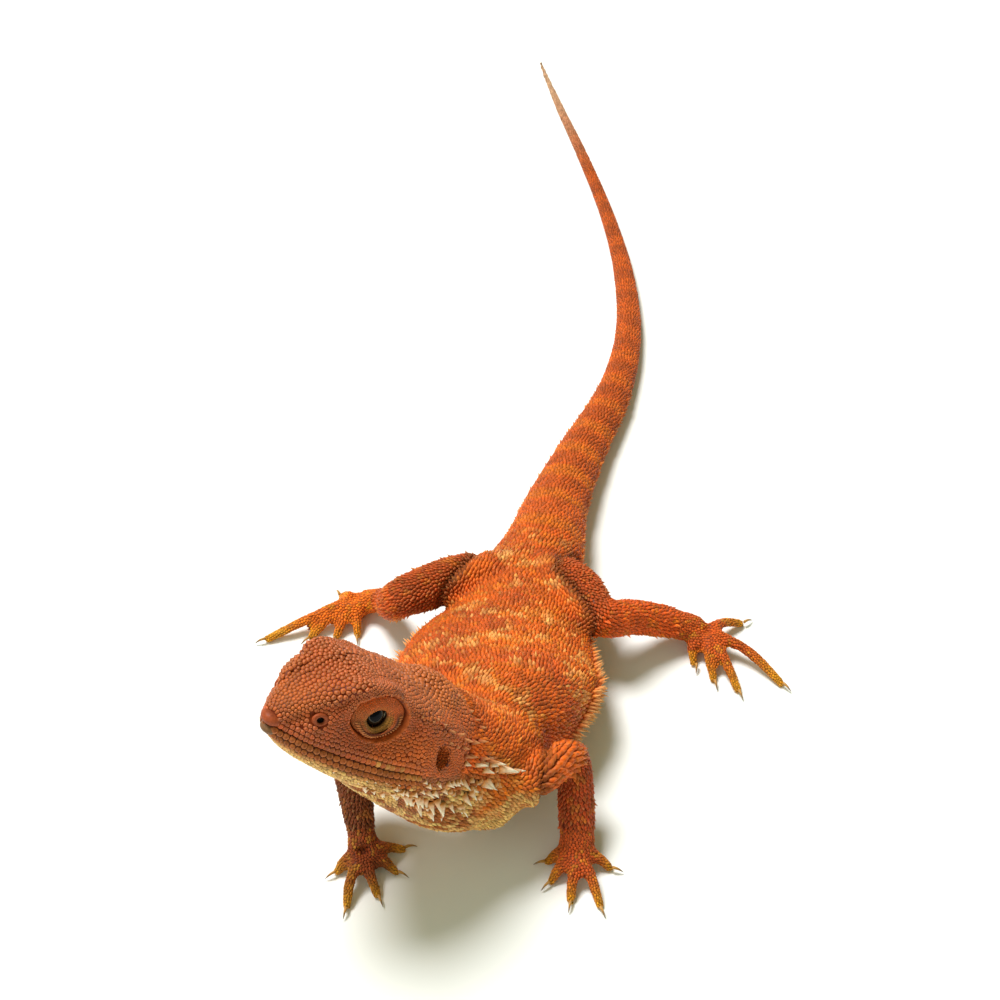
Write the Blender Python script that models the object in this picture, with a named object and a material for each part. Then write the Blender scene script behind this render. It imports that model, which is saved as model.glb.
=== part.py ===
"""A bearded dragon (Pogona vitticeps) at life size, standing with its head raised and turned.

The whole body is lofted along its own lines in millimetres, joined into one skin-tight solid,
thinned out to facets, and then parted by thin cuts into head, neck, trunk, tail and legs.
The animal faces -Y, its tail lies towards +Y and the floor is at Z = 0.
"""

import math

import bmesh
import bpy
from mathutils import Matrix, Vector

MM = 0.001

# ---- sizes of the animal, in millimetres ---------------------------------------------------
SNOUT_TIP = Vector((-48.2, -14.9, 68.4))
HEAD_YAW = 52.1               # degrees the head is turned to the animal's right
HEAD_PITCH = 37.0             # degrees the snout points up
HEAD_ROLL = 3.7               # degrees the left side of the head is tipped up
EYE_PLACE = (21.6, 7.0, 6.4)  # back from the snout, out to the side, and up from the mouth
EYE_LOOK = (-0.2, 0.93, 0.3)  # the way the left eye looks, in the same terms
EYE_RADIUS = 3.6
LID_THICKNESS = 1.05
LID_OPENING = (2.8, 2.1)      # half length and half height of the gap between the lids
EAR_PLACE = (41.0, 16.6, 0.4)
EAR_RADII = (1.4, 2.2, 2.4)
CLAW_LENGTH = 2.1
CLAW_RADIUS = 0.6
CLAW_DROP = 0.35              # height of a claw's tip above the floor

# ---- how finely the solid is made ----------------------------------------------------------
VOXEL = 0.75
SMOOTH_ROUNDS = 5
BODY_TRIANGLES = 8000         # in the whole body before it is parted
KEPT_SHARE = 0.56             # of a parted piece's triangles
GAP = 0.3                     # between parts that meet
NECK_WAY = Vector((-0.66, -0.1, 0.74))
FLOOR_SINK = 0.35             # how far soles and belly are pressed flat
TRUNK_SIDES = 48              # points round the trunk and tail
ELBOW_CUT, WRIST_CUT, NAPE_CUT, SKULL_CUT = 9.5, 6.5, 24.0, 30.0   # radii of the parting plates
MOUTH_HALF_WIDTH = 30.0       # of the wall that parts the jaw from the skull
THIGH_WALL = (12.0, 25.0)     # height of its middle, and half its own height

BRICK_RED = (0.34, 0.075, 0.028)
DARK_RED = (0.30, 0.06, 0.02)
ORANGE = (0.52, 0.13, 0.025)
TOE_ORANGE = (0.50, 0.16, 0.03)
CREAM = (0.62, 0.50, 0.25)
FLESH_ROUGHNESS = 0.6
EYE_BLACK = (0.01, 0.01, 0.012)
CLAW_BROWN = (0.12, 0.08, 0.05)

# Trunk and tail, front to back: x, y, height of the axis, half width, height above, depth below.
TRUNK = (
    (-6.0, -5.0, 20.8, 7.5, 7.0, 6.0),
    (-4.5, 3.0, 21.0, 11.6, 11.0, 10.0),
    (-2.4, 12.0, 19.2, 12.8, 13.6, 12.0),
    (-1.2, 19.0, 17.2, 13.4, 14.4, 12.6),
    (-0.2, 25.0, 15.6, 18.8, 15.0, 12.6),
    (-0.2, 31.0, 14.2, 22.5, 15.0, 12.6),
    (-0.2, 41.0, 12.5, 24.8, 14.5, 12.2),
    (3.0, 56.0, 10.8, 19.4, 12.0, 10.9),
    (4.2, 69.0, 9.8, 12.8, 10.2, 9.8),
    (9.4, 81.0, 9.2, 11.6, 8.4, 9.2),
    (12.3, 92.0, 8.5, 9.8, 7.0, 8.6),
)
# Tail: x, y and half width. Its height is TAIL_FLATNESS of its width, and it lies on the floor.
TAIL = (
    (12.3, 92.0, 9.8),
    (14.9, 104.0, 8.4),
    (22.3, 126.0, 6.5),
    (31.7, 150.0, 5.0),
    (36.8, 175.0, 4.0),
    (36.8, 202.0, 3.2),
    (33.2, 230.0, 2.4),
    (26.8, 260.0, 1.8),
    (19.2, 290.0, 1.3),
    (13.4, 315.5, 0.7),
)
TAIL_FLATNESS = 0.86
TAIL_CUTS = (104.0, 134.0, 172.0, 222.0)

# Head, in its own frame, snout to nape: back, crown height, crown half width and height of its edge,
# half width at the eyes' level, half width at the lips and their height, half width of the jaw's
# lower edge, depth of the jaw.
HEAD = (
    (0.8, 2.2, 1.5, 1.6, 2.0, 2.0, -0.2, 1.5, 2.4),
    (3.6, 5.6, 3.7, 4.8, 4.3, 3.9, -1.0, 2.7, 4.3),
    (8.0, 9.3, 6.8, 8.4, 7.8, 7.6, -1.7, 6.0, 7.2),
    (13.0, 12.7, 8.9, 11.8, 9.0, 10.0, -2.4, 8.4, 9.2),
    (18.0, 14.2, 9.6, 13.1, 8.9, 12.2, -3.0, 10.4, 10.8),
    (24.0, 14.0, 10.4, 12.0, 10.2, 14.3, -3.7, 12.4, 12.4),
    (31.0, 12.6, 11.4, 9.9, 13.2, 16.2, -4.1, 14.0, 13.6),
    (37.0, 11.0, 12.0, 8.4, 15.6, 17.4, -4.2, 14.8, 14.2),
    (43.0, 9.6, 12.4, 6.8, 16.4, 18.0, -4.2, 15.2, 14.6),
    (49.0, 8.0, 12.2, 4.6, 15.6, 17.2, -4.4, 15.0, 14.6),
    (54.0, 6.4, 10.6, 3.0, 13.0, 14.4, -4.6, 13.0, 13.4),
)
# The slit of the mouth and the line on which the lower jaw is parted: back and height.
MOUTH = ((-6.0, 1.4), (0.0, -0.2), (3.6, -1.0), (8.0, -1.7), (14.0, -2.5), (20.0, -3.2),
         (28.0, -3.9), (35.0, -4.2), (38.0, -7.0), (40.0, -34.0))

# Legs: for each joint x, y, z and radius, from inside the trunk to the wrist or ankle.
ARMS = {
    "left": ((4.0, 1.0, 21.8, 5.5), (10.4, 6.0, 22.9, 4.5), (16.4, 11.4, 20.0, 3.9),
             (17.3, 6.6, 13.4, 4.3), (17.6, 1.2, 7.6, 4.3), (17.6, -1.6, 4.8, 4.1)),
    "right": ((-11.0, 3.5, 18.5, 6.0), (-20.5, 7.6, 17.6, 5.2), (-33.0, 11.4, 17.6, 4.4),
              (-32.8, 5.8, 12.6, 4.0), (-31.9, 1.2, 7.6, 3.5), (-31.4, -1.8, 4.8, 3.5)),
}
LEGS = {
    "left": ((9.6, 74.0, 10.8, 8.2), (18.4, 66.4, 14.6, 7.4), (24.6, 56.6, 16.6, 5.0),
             (33.0, 60.4, 12.4, 4.5), (42.5, 63.3, 7.0, 4.1), (50.0, 63.4, 3.9, 3.2)),
    "right": ((4.0, 74.0, 11.0, 8.0), (-11.0, 69.8, 15.4, 6.4), (-24.6, 63.2, 16.2, 5.0),
              (-26.6, 65.8, 10.4, 4.0), (-29.8, 71.6, 6.0, 3.4), (-34.5, 73.0, 3.8, 3.0)),
}
# Where each arm is parted from the trunk: a place, the direction across the cut, and its reach.
ARM_ROOTS = {
    "left": ((10.4, 7.0, 20.5), (0.98, -0.1, 0.0), 10.0),
    "right": ((-21.2, 8.0, 17.6), (-0.98, 0.1, 0.0), 6.8),
}
# The upright wall that parts each thigh from the trunk, from its crease at the belly round its root.
LEG_ROOTS = {
    "left": ((28.0, 43.0), (19.0, 60.6), (14.0, 69.0), (15.0, 76.0), (22.0, 82.0), (34.0, 87.0)),
    "right": ((-24.0, 46.0), (-14.5, 62.0), (-8.0, 71.5), (-5.0, 78.0), (-8.0, 86.0),
              (-18.0, 93.0)),
}
# Feet: middle of the palm or sole, its half length and half width, where the claws end (x, y), and
# how far each toe bows out sideways.
FEET = {
    "hand_left": ((17.2, -3.9), (3.8, 4.0),
                  ((7.6, -3.9), (9.3, -11.4), (15.5, -17.3), (23.6, -18.6), (28.3, -6.3)),
                  (-0.8, -0.3, 0.0, 0.8, 0.8)),
    "hand_right": ((-31.2, -4.2), (3.8, 4.0),
                   ((-19.2, 0.8), (-20.7, -7.7), (-26.4, -15.7), (-35.2, -18.9), (-40.1, -7.9)),
                   (0.6, 0.5, -0.3, -0.9, -0.8)),
    "foot_left": ((51.8, 61.8), (4.6, 3.8),
                  ((47.8, 51.8), (53.4, 46.8), (59.6, 43.8), (71.5, 46.2), (64.0, 69.6)),
                  (-2.6, -0.8, 0.4, 2.0, 1.2)),
    "foot_right": ((-36.6, 72.6), (4.6, 3.8),
                   ((-35.7, 61.2), (-42.5, 61.0), (-49.9, 61.4), (-61.4, 61.8), (-42.4, 79.4)),
                   (0.3, -0.3, -0.6, 0.2, 0.4)),
}
TOE_RADII = (1.6, 1.45, 1.25)   # at the knuckle, the middle and the end
TOE_LIFTS = (4.0, 2.6, 0.0)     # how far a toe stands up off the floor at the same places
SOLE = (2.4, 2.9)               # height of the palm's or sole's middle, and half its thickness


# ---- small tools ---------------------------------------------------------------------------
def clear_scene():
    for obj in list(bpy.data.objects):
        bpy.data.objects.remove(obj, do_unlink=True)


def through(stations, steps):
    """Rows of numbers on a smooth curve through the stations, with steps rows from each to the next."""
    rows = []
    last = len(stations) - 1
    for i in range(last):
        before, here = stations[max(i - 1, 0)], stations[i]
        there, after = stations[i + 1], stations[min(i + 2, last)]
        for k in range(steps):
            t = k / steps
            rows.append([
                b + 0.5 * t * (c - a + t * (2 * a - 5 * b + 4 * c - d + t * (3 * (b - c) + d - a)))
                for a, b, c, d in zip(before, here, there, after)
            ])
    rows.append(list(stations[last]))
    return rows


def add_loft(mesh, rings):
    """Add a closed tube to the mesh from rings that all have the same number of points."""
    loops = [[mesh.verts.new(point) for point in ring] for ring in rings]
    for ring, following in zip(loops, loops[1:]):
        for i in range(len(ring)):
            j = (i + 1) % len(ring)
            mesh.faces.new((ring[i], ring[j], following[j], following[i]))
    for ring, side in ((loops[0], -1), (loops[-1], 1)):
        middle = mesh.verts.new(sum((v.co for v in ring), Vector()) / len(ring))
        for i in range(len(ring)):
            j = (i + 1) % len(ring)
            corners = (ring[i], ring[j], middle)
            mesh.faces.new(corners if side > 0 else corners[::-1])


def add_tube(mesh, stations, sides=20, steps=6):
    """A tube of round section along x, y, z, radius."""
    rows = through(stations, steps)
    points = [Vector(row[:3]) for row in rows]
    side = None
    rings = []
    for i, point in enumerate(points):
        along = (points[min(i + 1, len(points) - 1)] - points[max(i - 1, 0)]).normalized()
        if side is None:
            side = along.orthogonal().normalized()
        side = (side - along * side.dot(along)).normalized()
        other = along.cross(side)
        turns = [2 * math.pi * k / sides for k in range(sides)]
        radius = max(rows[i][3], 0.3)
        rings.append([point + radius * (math.cos(a) * side + math.sin(a) * other) for a in turns])
    add_loft(mesh, rings)


def add_ball(mesh, centre, radii, turn=None, fineness=3):
    """An ellipsoid with its axes turned by a 3x3 matrix."""
    place = Matrix.Translation(centre) @ (turn.to_4x4() if turn else Matrix())
    bmesh.ops.create_icosphere(mesh, subdivisions=fineness, radius=1,
                               matrix=place @ Matrix.Diagonal((*radii, 1)))


def mesh_object(name, mesh):
    bmesh.ops.recalc_face_normals(mesh, faces=mesh.faces)
    data = bpy.data.meshes.new(name)
    mesh.to_mesh(data)
    mesh.free()
    obj = bpy.data.objects.new(name, data)
    bpy.context.scene.collection.objects.link(obj)
    return obj


def bake(obj):
    """Put what the modifiers make into the object's own mesh."""
    bpy.context.view_layer.update()
    graph = bpy.context.evaluated_depsgraph_get()
    made = bpy.data.meshes.new_from_object(obj.evaluated_get(graph))
    obj.modifiers.clear()
    obj.data = made


def thin_out(obj, share):
    """Collapse the object's smallest facets until this share of its triangles is left."""
    obj.modifiers.new("Triangles", "TRIANGULATE")
    thin = obj.modifiers.new("Facets", "DECIMATE")
    thin.ratio = share
    bake(obj)


def cut(obj, cutter):
    """Take the cutter out of the object and drop the cutter."""
    boolean = obj.modifiers.new("Cut", "BOOLEAN")
    boolean.operation = "DIFFERENCE"
    boolean.solver = "EXACT"
    boolean.object = cutter
    bake(obj)
    bpy.data.objects.remove(cutter, do_unlink=True)


# ---- the head's own frame ------------------------------------------------------------------
def head_frame():
    """Matrix from back, left and up of the head to the animal's millimetres."""
    yaw, pitch, roll = (math.radians(a) for a in (HEAD_YAW, HEAD_PITCH, HEAD_ROLL))
    forward = Vector((-math.sin(yaw) * math.cos(pitch), -math.cos(yaw) * math.cos(pitch),
                      math.sin(pitch)))
    level_up = Vector((math.sin(yaw) * math.sin(pitch), math.cos(yaw) * math.sin(pitch),
                       math.cos(pitch)))
    level_left = level_up.cross(forward)
    left = math.cos(roll) * level_left + math.sin(roll) * level_up
    up = math.cos(roll) * level_up - math.sin(roll) * level_left
    turn = Matrix((-forward, left, up)).transposed()
    return Matrix.Translation(SNOUT_TIP) @ turn.to_4x4()


HEAD_FRAME = head_frame()
HEAD_TURN = HEAD_FRAME.to_3x3()


def in_head(back, left, up):
    return HEAD_FRAME @ Vector((back, left, up))


# ---- the body ------------------------------------------------------------------------------
def add_trunk_and_tail(mesh):
    stations = list(TRUNK[:-1])
    for x, y, half in TAIL:
        high = half * TAIL_FLATNESS
        stations.append((x, y, high - FLOOR_SINK, half, high, high))
    rows = through(stations, 8)
    rings = []
    for i, (x, y, z, half, above, below) in enumerate(rows):
        ahead, behind = rows[max(i - 1, 0)], rows[min(i + 1, len(rows) - 1)]
        along = Vector((behind[0] - ahead[0], behind[1] - ahead[1], 0)).normalized()
        side = Vector((along.y, -along.x, 0))
        ring = []
        for k in range(TRUNK_SIDES):
            turn = 2 * math.pi * k / TRUNK_SIDES
            rise = math.sin(turn)
            ring.append(Vector((x, y, z)) + side * half * math.cos(turn)
                        + Vector((0, 0, rise * (above if rise > 0 else below))))
        rings.append(ring)
    add_loft(mesh, rings)


def head_ring(row):
    back, crown, crown_half, edge, side_half, lip_half, lip, jaw_half, depth = row
    side = ((0, crown), (crown_half, edge), (side_half, 0.5 * (edge + lip)), (lip_half, lip),
            (jaw_half, -0.8 * depth), (0, -depth))
    outline = list(side) + [(-x, z) for x, z in side[-2:0:-1]]
    count = len(outline)
    smooth = through([outline[i % count] for i in range(-1, count + 2)], 5)
    return [in_head(back, left, up) for left, up in smooth[5:5 + 5 * count]]


def eye_middle(side):
    back, out, up = EYE_PLACE
    return in_head(back, side * out, up)


def eye_look(side):
    back, out, up = EYE_LOOK
    return (HEAD_TURN @ Vector((back, side * out, up))).normalized()


def add_head(mesh):
    add_loft(mesh, [head_ring(row) for row in through(HEAD, 4)])
    lids = EYE_RADIUS + LID_THICKNESS
    for side in (-1, 1):
        # The lids bulge over the eye, with the brow above, the cheek muscle behind and the nostril.
        add_ball(mesh, eye_middle(side), (lids * 1.25, lids, lids), HEAD_TURN)
        add_ball(mesh, in_head(19.0, side * 8.6, 12.4), (8.2, 2.2, 1.6), HEAD_TURN)
        add_ball(mesh, in_head(38.0, side * 12.8, -3.4), (8.0, 5.0, 7.0), HEAD_TURN)
        add_ball(mesh, in_head(8.0, side * 5.6, 4.0), (2.6, 2.2, 1.9), HEAD_TURN)


def add_neck(mesh):
    nape = in_head(44.0, 0, -1.2)
    add_tube(mesh, ((-1.0, 20.0, 19.0, 10.5), (-3.5, 11.0, 22.5, 12.2), (-9.5, 7.6, 29.0, 12.2),
                    (-16.0, 6.8, 36.0, 11.8), (*nape, 12.4), (*in_head(38.0, 0, -1.0), 10.0)), 32)
    # The loose skin of the throat, from the jaw down to the chest.
    add_tube(mesh, ((*in_head(22.0, 0, -5.5), 5.0), (*in_head(34.5, -0.6, -7.8), 9.6),
                    (-17.0, -2.4, 30.0, 9.5), (-9.4, 0.0, 23.4, 9.4), (-5.4, 5.0, 20.2, 8.8)), 24)


def add_legs(mesh):
    for stations in (*ARMS.values(), *LEGS.values()):
        add_tube(mesh, stations)


def toe_stations(foot, toe):
    """The toe's own stations, from inside the sole to its end, and the way it points there."""
    (x, y), (_, wide_half), claw_ends, bows = FEET[foot]
    start = Vector((x, y, 0))
    reach = Vector((claw_ends[toe][0], claw_ends[toe][1], 0)) - start
    way = reach.normalized()
    across = Vector((-way.y, way.x, 0))
    length = reach.length - CLAW_LENGTH - TOE_RADII[-1]
    stations = []
    for share, radius, lift in zip((0.0, 0.5, 1.0), TOE_RADII, TOE_LIFTS):
        along = way * (0.35 * wide_half + (length - 0.35 * wide_half) * share)
        point = start + along + across * bows[toe] * math.sin(math.pi * (0.1 + 0.8 * share))
        stations.append((point.x, point.y, radius + lift - FLOOR_SINK, radius))
    return stations, (Vector(stations[2][:2]) - Vector(stations[1][:2])).normalized()


def add_feet(mesh):
    for foot, ((x, y), (long_half, wide_half), claw_ends, _) in FEET.items():
        reach = sum((Vector(end) - Vector((x, y)) for end in claw_ends[1:4]), Vector((0, 0)))
        turn = Matrix.Rotation(math.atan2(reach.y, reach.x), 3, "Z")
        add_ball(mesh, Vector((x, y, SOLE[0])), (long_half, wide_half, SOLE[1]), turn)
        for toe in range(len(claw_ends)):
            stations, _ = toe_stations(foot, toe)
            add_tube(mesh, stations, 10, 4)
            add_ball(mesh, Vector(stations[-1][:3]), [stations[-1][3]] * 3)


def whole_body():
    mesh = bmesh.new()
    add_trunk_and_tail(mesh)
    add_head(mesh)
    add_neck(mesh)
    add_legs(mesh)
    add_feet(mesh)
    body = mesh_object("body", mesh)
    remesh = body.modifiers.new("One surface", "REMESH")
    remesh.mode = "VOXEL"
    remesh.voxel_size = VOXEL
    bake(body)
    smooth = body.modifiers.new("Smooth", "SMOOTH")
    smooth.factor = 0.5
    smooth.iterations = SMOOTH_ROUNDS
    bake(body)
    triangles = sum(len(face.vertices) - 2 for face in body.data.polygons)
    thin_out(body, BODY_TRIANGLES / triangles)
    return body


# ---- parting -------------------------------------------------------------------------------
def islands(obj):
    """The loose pieces of an object, as new objects, largest first. The object is removed."""
    mesh = bmesh.new()
    mesh.from_mesh(obj.data)
    mesh.verts.ensure_lookup_table()
    island_of = {}
    count = 0
    for start in mesh.verts:
        if start.index in island_of:
            continue
        island_of[start.index] = count
        reached = [start]
        for vert in reached:
            for edge in vert.link_edges:
                other = edge.other_vert(vert)
                if other.index not in island_of:
                    island_of[other.index] = count
                    reached.append(other)
        count += 1
    made = []
    for island in range(count):
        piece = bmesh.new()
        copies = {v.index: piece.verts.new(v.co) for v in mesh.verts if island_of[v.index] == island}
        for face in mesh.faces:
            if face.verts[0].index in copies:
                piece.faces.new([copies[vert.index] for vert in face.verts])
        made.append((len(piece.verts), piece))
    mesh.free()
    bpy.data.objects.remove(obj, do_unlink=True)
    made.sort(key=lambda entry: entry[0], reverse=True)
    return [mesh_object("piece", piece) for _, piece in made]


def floor_cutter():
    mesh = bmesh.new()
    bmesh.ops.create_cube(mesh, size=1, matrix=Matrix.Translation((0, 150, -10))
                          @ Matrix.Diagonal((400, 600, 20, 1)))
    return mesh_object("floor", mesh)


def plate(place, way, radius):
    """A thin round plate square to a direction."""
    mesh = bmesh.new()
    turn = Vector(way).to_track_quat("Z", "Y").to_matrix().to_4x4()
    bmesh.ops.create_cone(mesh, cap_ends=True, segments=24, radius1=radius, radius2=radius,
                          depth=GAP, matrix=Matrix.Translation(place) @ turn)
    return mesh_object("plate", mesh)


def wall(line, to_place, half_width):
    """A thin wall along a bent line. to_place turns a point of the line and a way across into a place."""
    line = [Vector(point) for point in line]
    upper, lower = [], []
    for i, point in enumerate(line):
        way = (line[min(i + 1, len(line) - 1)] - line[max(i - 1, 0)]).normalized()
        square = Vector((-way.y, way.x)) * GAP / 2
        upper.append(point + square)
        lower.append(point - square)
    mesh = bmesh.new()
    loops = [[mesh.verts.new(to_place(point.x, point.y, side * half_width))
              for point in upper + lower[::-1]] for side in (-1, 1)]
    count = 2 * len(line)
    for i in range(count):
        j = (i + 1) % count
        mesh.faces.new((loops[0][i], loops[0][j], loops[1][j], loops[1][i]))
    mesh.faces.new(loops[0][::-1])
    mesh.faces.new(loops[1])
    return mesh_object("wall", mesh)


def mouth_wall():
    return wall(MOUTH, lambda back, up, across: in_head(back, across, up), MOUTH_HALF_WIDTH)


def thigh_wall(side):
    middle, half = THIGH_WALL
    return wall(LEG_ROOTS[side], lambda x, y, across: Vector((x, y, middle + across)), half)


def split(obj, cutter, place):
    """Cut an object in two. Returns the piece nearest the place, then the other."""
    cut(obj, cutter)
    pieces = islands(obj)
    for scrap in pieces[2:]:
        bpy.data.objects.remove(scrap, do_unlink=True)
    pieces = pieces[:2]
    pieces.sort(key=lambda piece: min((v.co - place).length for v in piece.data.vertices))
    return pieces


def finish_flesh(obj, name, colour):
    """Finish a parted piece: fewer facets, and pressed flat where it lies on the floor."""
    thin_out(obj, KEPT_SHARE)
    if min(vert.co.z for vert in obj.data.vertices) < 0:
        cut(obj, floor_cutter())
    finish(obj, name, colour, FLESH_ROUGHNESS)


def finish(obj, name, colour, roughness):
    material = bpy.data.materials.new(name)
    material.use_nodes = True
    shader = material.node_tree.nodes["Principled BSDF"]
    shader.inputs["Base Color"].default_value = (*colour, 1)
    shader.inputs["Roughness"].default_value = roughness
    shader.inputs["Metallic"].default_value = 0.0
    obj.name = name
    obj.data.name = name
    obj.data.materials.clear()
    obj.data.materials.append(material)
    obj.data.shade_smooth()
    obj.data.set_sharp_from_angle(angle=math.radians(50))


def part_limb(body, side, joints, root_cutter, names):
    """Take a leg off the body and part it at its joints. Returns what is left of the body."""
    _, upper, elbow, lower, wrist, palm = (Vector(joint[:3]) for joint in joints)
    limb, body = split(body, root_cutter, elbow)
    bend = (elbow - upper).normalized() + (lower - elbow).normalized()
    above, below = split(limb, plate(elbow, bend, ELBOW_CUT), upper)
    shin, foot = split(below, plate(wrist, palm - lower, WRIST_CUT), lower)
    for piece, name, colour in zip((above, shin, foot), names, (DARK_RED, DARK_RED, TOE_ORANGE)):
        finish_flesh(piece, f"{name}_{side}", colour)
    return body


def part_legs(body):
    for side in ("left", "right"):
        body = part_limb(body, side, ARMS[side], plate(*ARM_ROOTS[side]),
                         ("upper_arm", "forearm", "hand"))
        body = part_limb(body, side, LEGS[side], thigh_wall(side), ("thigh", "shank", "foot"))
    return body


def part_tail(body):
    """Take lengths off the tail from its tip forwards. Returns what is left of the body."""
    rows = through(TAIL, 6)
    for number in range(len(TAIL_CUTS), 0, -1):
        cut_y = TAIL_CUTS[number - 1]
        i = min(range(1, len(rows) - 1), key=lambda n: abs(rows[n][1] - cut_y))
        x, y, half = rows[i]
        way = Vector((rows[i + 1][0] - rows[i - 1][0], rows[i + 1][1] - rows[i - 1][1], 0))
        length, body = split(body, plate(Vector((x, y, half)), way, 2.2 * half), Vector((x, 400, 0)))
        finish_flesh(length, f"tail_{number + 1}", ORANGE)
    return body


def part_head(head):
    """Open the eye sockets, lids and ears, and take the lower jaw off."""
    for side in (-1, 1):
        socket = bmesh.new()
        add_ball(socket, eye_middle(side), [EYE_RADIUS + 1.5 * GAP] * 3, fineness=2)
        cut(head, mesh_object("socket", socket))
        opening = bmesh.new()
        look = eye_look(side)
        back = (HEAD_TURN.col[0] - look * look.dot(HEAD_TURN.col[0])).normalized()
        turn = Matrix((back, look.cross(back), look)).transposed().to_4x4()
        half_length, half_height = LID_OPENING
        shape = Matrix.Diagonal((half_length, half_height, 1, 1))
        bmesh.ops.create_cone(opening, cap_ends=True, segments=14, radius1=1, radius2=1.25, depth=5,
                              matrix=Matrix.Translation(eye_middle(side) + look * EYE_RADIUS)
                              @ turn @ shape)
        cut(head, mesh_object("opening", opening))
        ear = bmesh.new()
        back, out, up = EAR_PLACE
        add_ball(ear, in_head(back, side * out, up), EAR_RADII, HEAD_TURN, fineness=2)
        cut(head, mesh_object("ear", ear))
    jaw, skull = split(head, mouth_wall(), in_head(12.0, 0, -12.0))
    finish_flesh(jaw, "lower_jaw", CREAM)
    finish_flesh(skull, "head", BRICK_RED)


def part_body(body):
    body = part_legs(body)
    body = part_tail(body)
    nape = Vector((-14.5, 5.0, 33.0))
    front, trunk = split(body, plate(nape, NECK_WAY, NAPE_CUT), SNOUT_TIP)
    skull_end = in_head(53.0, 0, -3.0)
    head, neck = split(front, plate(skull_end, HEAD_TURN.col[0], SKULL_CUT), SNOUT_TIP)
    finish_flesh(neck, "neck", ORANGE)
    part_head(head)
    base, trunk = split(trunk, plate(Vector((10.2, 84.0, 9.0)), Vector((0.3, 1, 0)), 22.0),
                        Vector((TAIL[1][0], TAIL[1][1], 0)))
    finish_flesh(base, "tail_1", ORANGE)
    chest, belly = split(trunk, plate(Vector((0, 41.0, 13.0)), Vector((0, 1, 0)), 36.0),
                         Vector((0, 0, 20)))
    finish_flesh(chest, "trunk_front", ORANGE)
    finish_flesh(belly, "trunk_rear", ORANGE)


# ---- eyes and claws ------------------------------------------------------------------------
def make_eye(side, name):
    mesh = bmesh.new()
    turn = eye_look(side).to_track_quat("Z", "Y").to_matrix().to_4x4()
    bmesh.ops.create_uvsphere(mesh, u_segments=16, v_segments=9, radius=EYE_RADIUS,
                              matrix=Matrix.Translation(eye_middle(side)) @ turn)
    finish(mesh_object(name, mesh), name, EYE_BLACK, 0.1)


def make_claw(foot, toe):
    """A claw that arches from the end of its toe down to the floor."""
    stations, way = toe_stations(foot, toe)
    x, y, z, radius = stations[-1]
    start = Vector((x, y, z)) + Vector((way.x, way.y, 0)) * (radius + GAP)
    length = CLAW_LENGTH - GAP
    rows = []
    for share, thickness in ((0.0, 1.0), (0.35, 0.86), (0.7, 0.58), (1.0, 0.26)):
        lift = (CLAW_DROP - z) * share ** 1.8 + 0.5 * math.sin(math.pi * share)
        point = start + Vector((way.x, way.y, 0)) * length * share + Vector((0, 0, lift))
        rows.append((*point, CLAW_RADIUS * thickness))
    mesh = bmesh.new()
    add_tube(mesh, rows, 7, 1)
    name = f"claw_{foot}_{toe + 1}"
    finish(mesh_object(name, mesh), name, CLAW_BROWN, 0.35)


def stand_on_origin():
    """Turn millimetres into metres, with the middle of the model's underside at the origin."""
    objects = [obj for obj in bpy.context.scene.objects if obj.type == "MESH"]
    corners = [vert.co for obj in objects for vert in obj.data.vertices]
    low = Vector(min(corner[axis] for corner in corners) for axis in range(3))
    high = Vector(max(corner[axis] for corner in corners) for axis in range(3))
    move = Matrix.Translation((-(low.x + high.x) / 2, -(low.y + high.y) / 2, -low.z))
    for obj in objects:
        obj.data.transform(Matrix.Scale(MM, 4) @ move)
        obj.data.update()
    return move


def main():
    clear_scene()
    part_body(whole_body())
    for side, name in ((1, "eye_left"), (-1, "eye_right")):
        make_eye(side, name)
    for foot, (_, _, claw_ends, _) in FEET.items():
        for toe in range(len(claw_ends)):
            make_claw(foot, toe)
    stand_on_origin()


if __name__ == "__main__":
    main()
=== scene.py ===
"""Looks of a life-size bearded dragon: one smooth skin, a coat of overlapping scales, spines, eyes and claws.

All working lengths are in millimetres in the frame's own axes: the animal faces -Y and the floor is
at z = 0. Head coordinates are (back from the snout tip, out to the animal's left, up).
"""

import math

import bmesh
import bpy
import numpy as np
from bpy.props import FloatProperty, FloatVectorProperty, IntProperty, PointerProperty
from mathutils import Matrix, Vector
from mathutils.bvhtree import BVHTree
from mathutils.kdtree import KDTree


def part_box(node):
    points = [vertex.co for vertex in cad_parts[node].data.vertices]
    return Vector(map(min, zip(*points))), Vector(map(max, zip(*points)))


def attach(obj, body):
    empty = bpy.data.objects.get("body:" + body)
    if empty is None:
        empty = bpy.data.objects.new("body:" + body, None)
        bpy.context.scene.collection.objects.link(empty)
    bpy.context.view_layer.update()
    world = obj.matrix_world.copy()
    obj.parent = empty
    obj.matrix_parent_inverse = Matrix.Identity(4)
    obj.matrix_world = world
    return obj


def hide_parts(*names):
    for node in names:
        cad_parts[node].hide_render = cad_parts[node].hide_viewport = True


bl_info = {
    "name": "Bearded Dragon Coat",
    "version": (1, 0, 0),
    "blender": (4, 5, 0),
    "location": "3D View > Sidebar > Dragon",
    "description": "Builds the skin, scales, spines, eyes and claws of a bearded dragon",
    "category": "Add Mesh",
}

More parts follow.
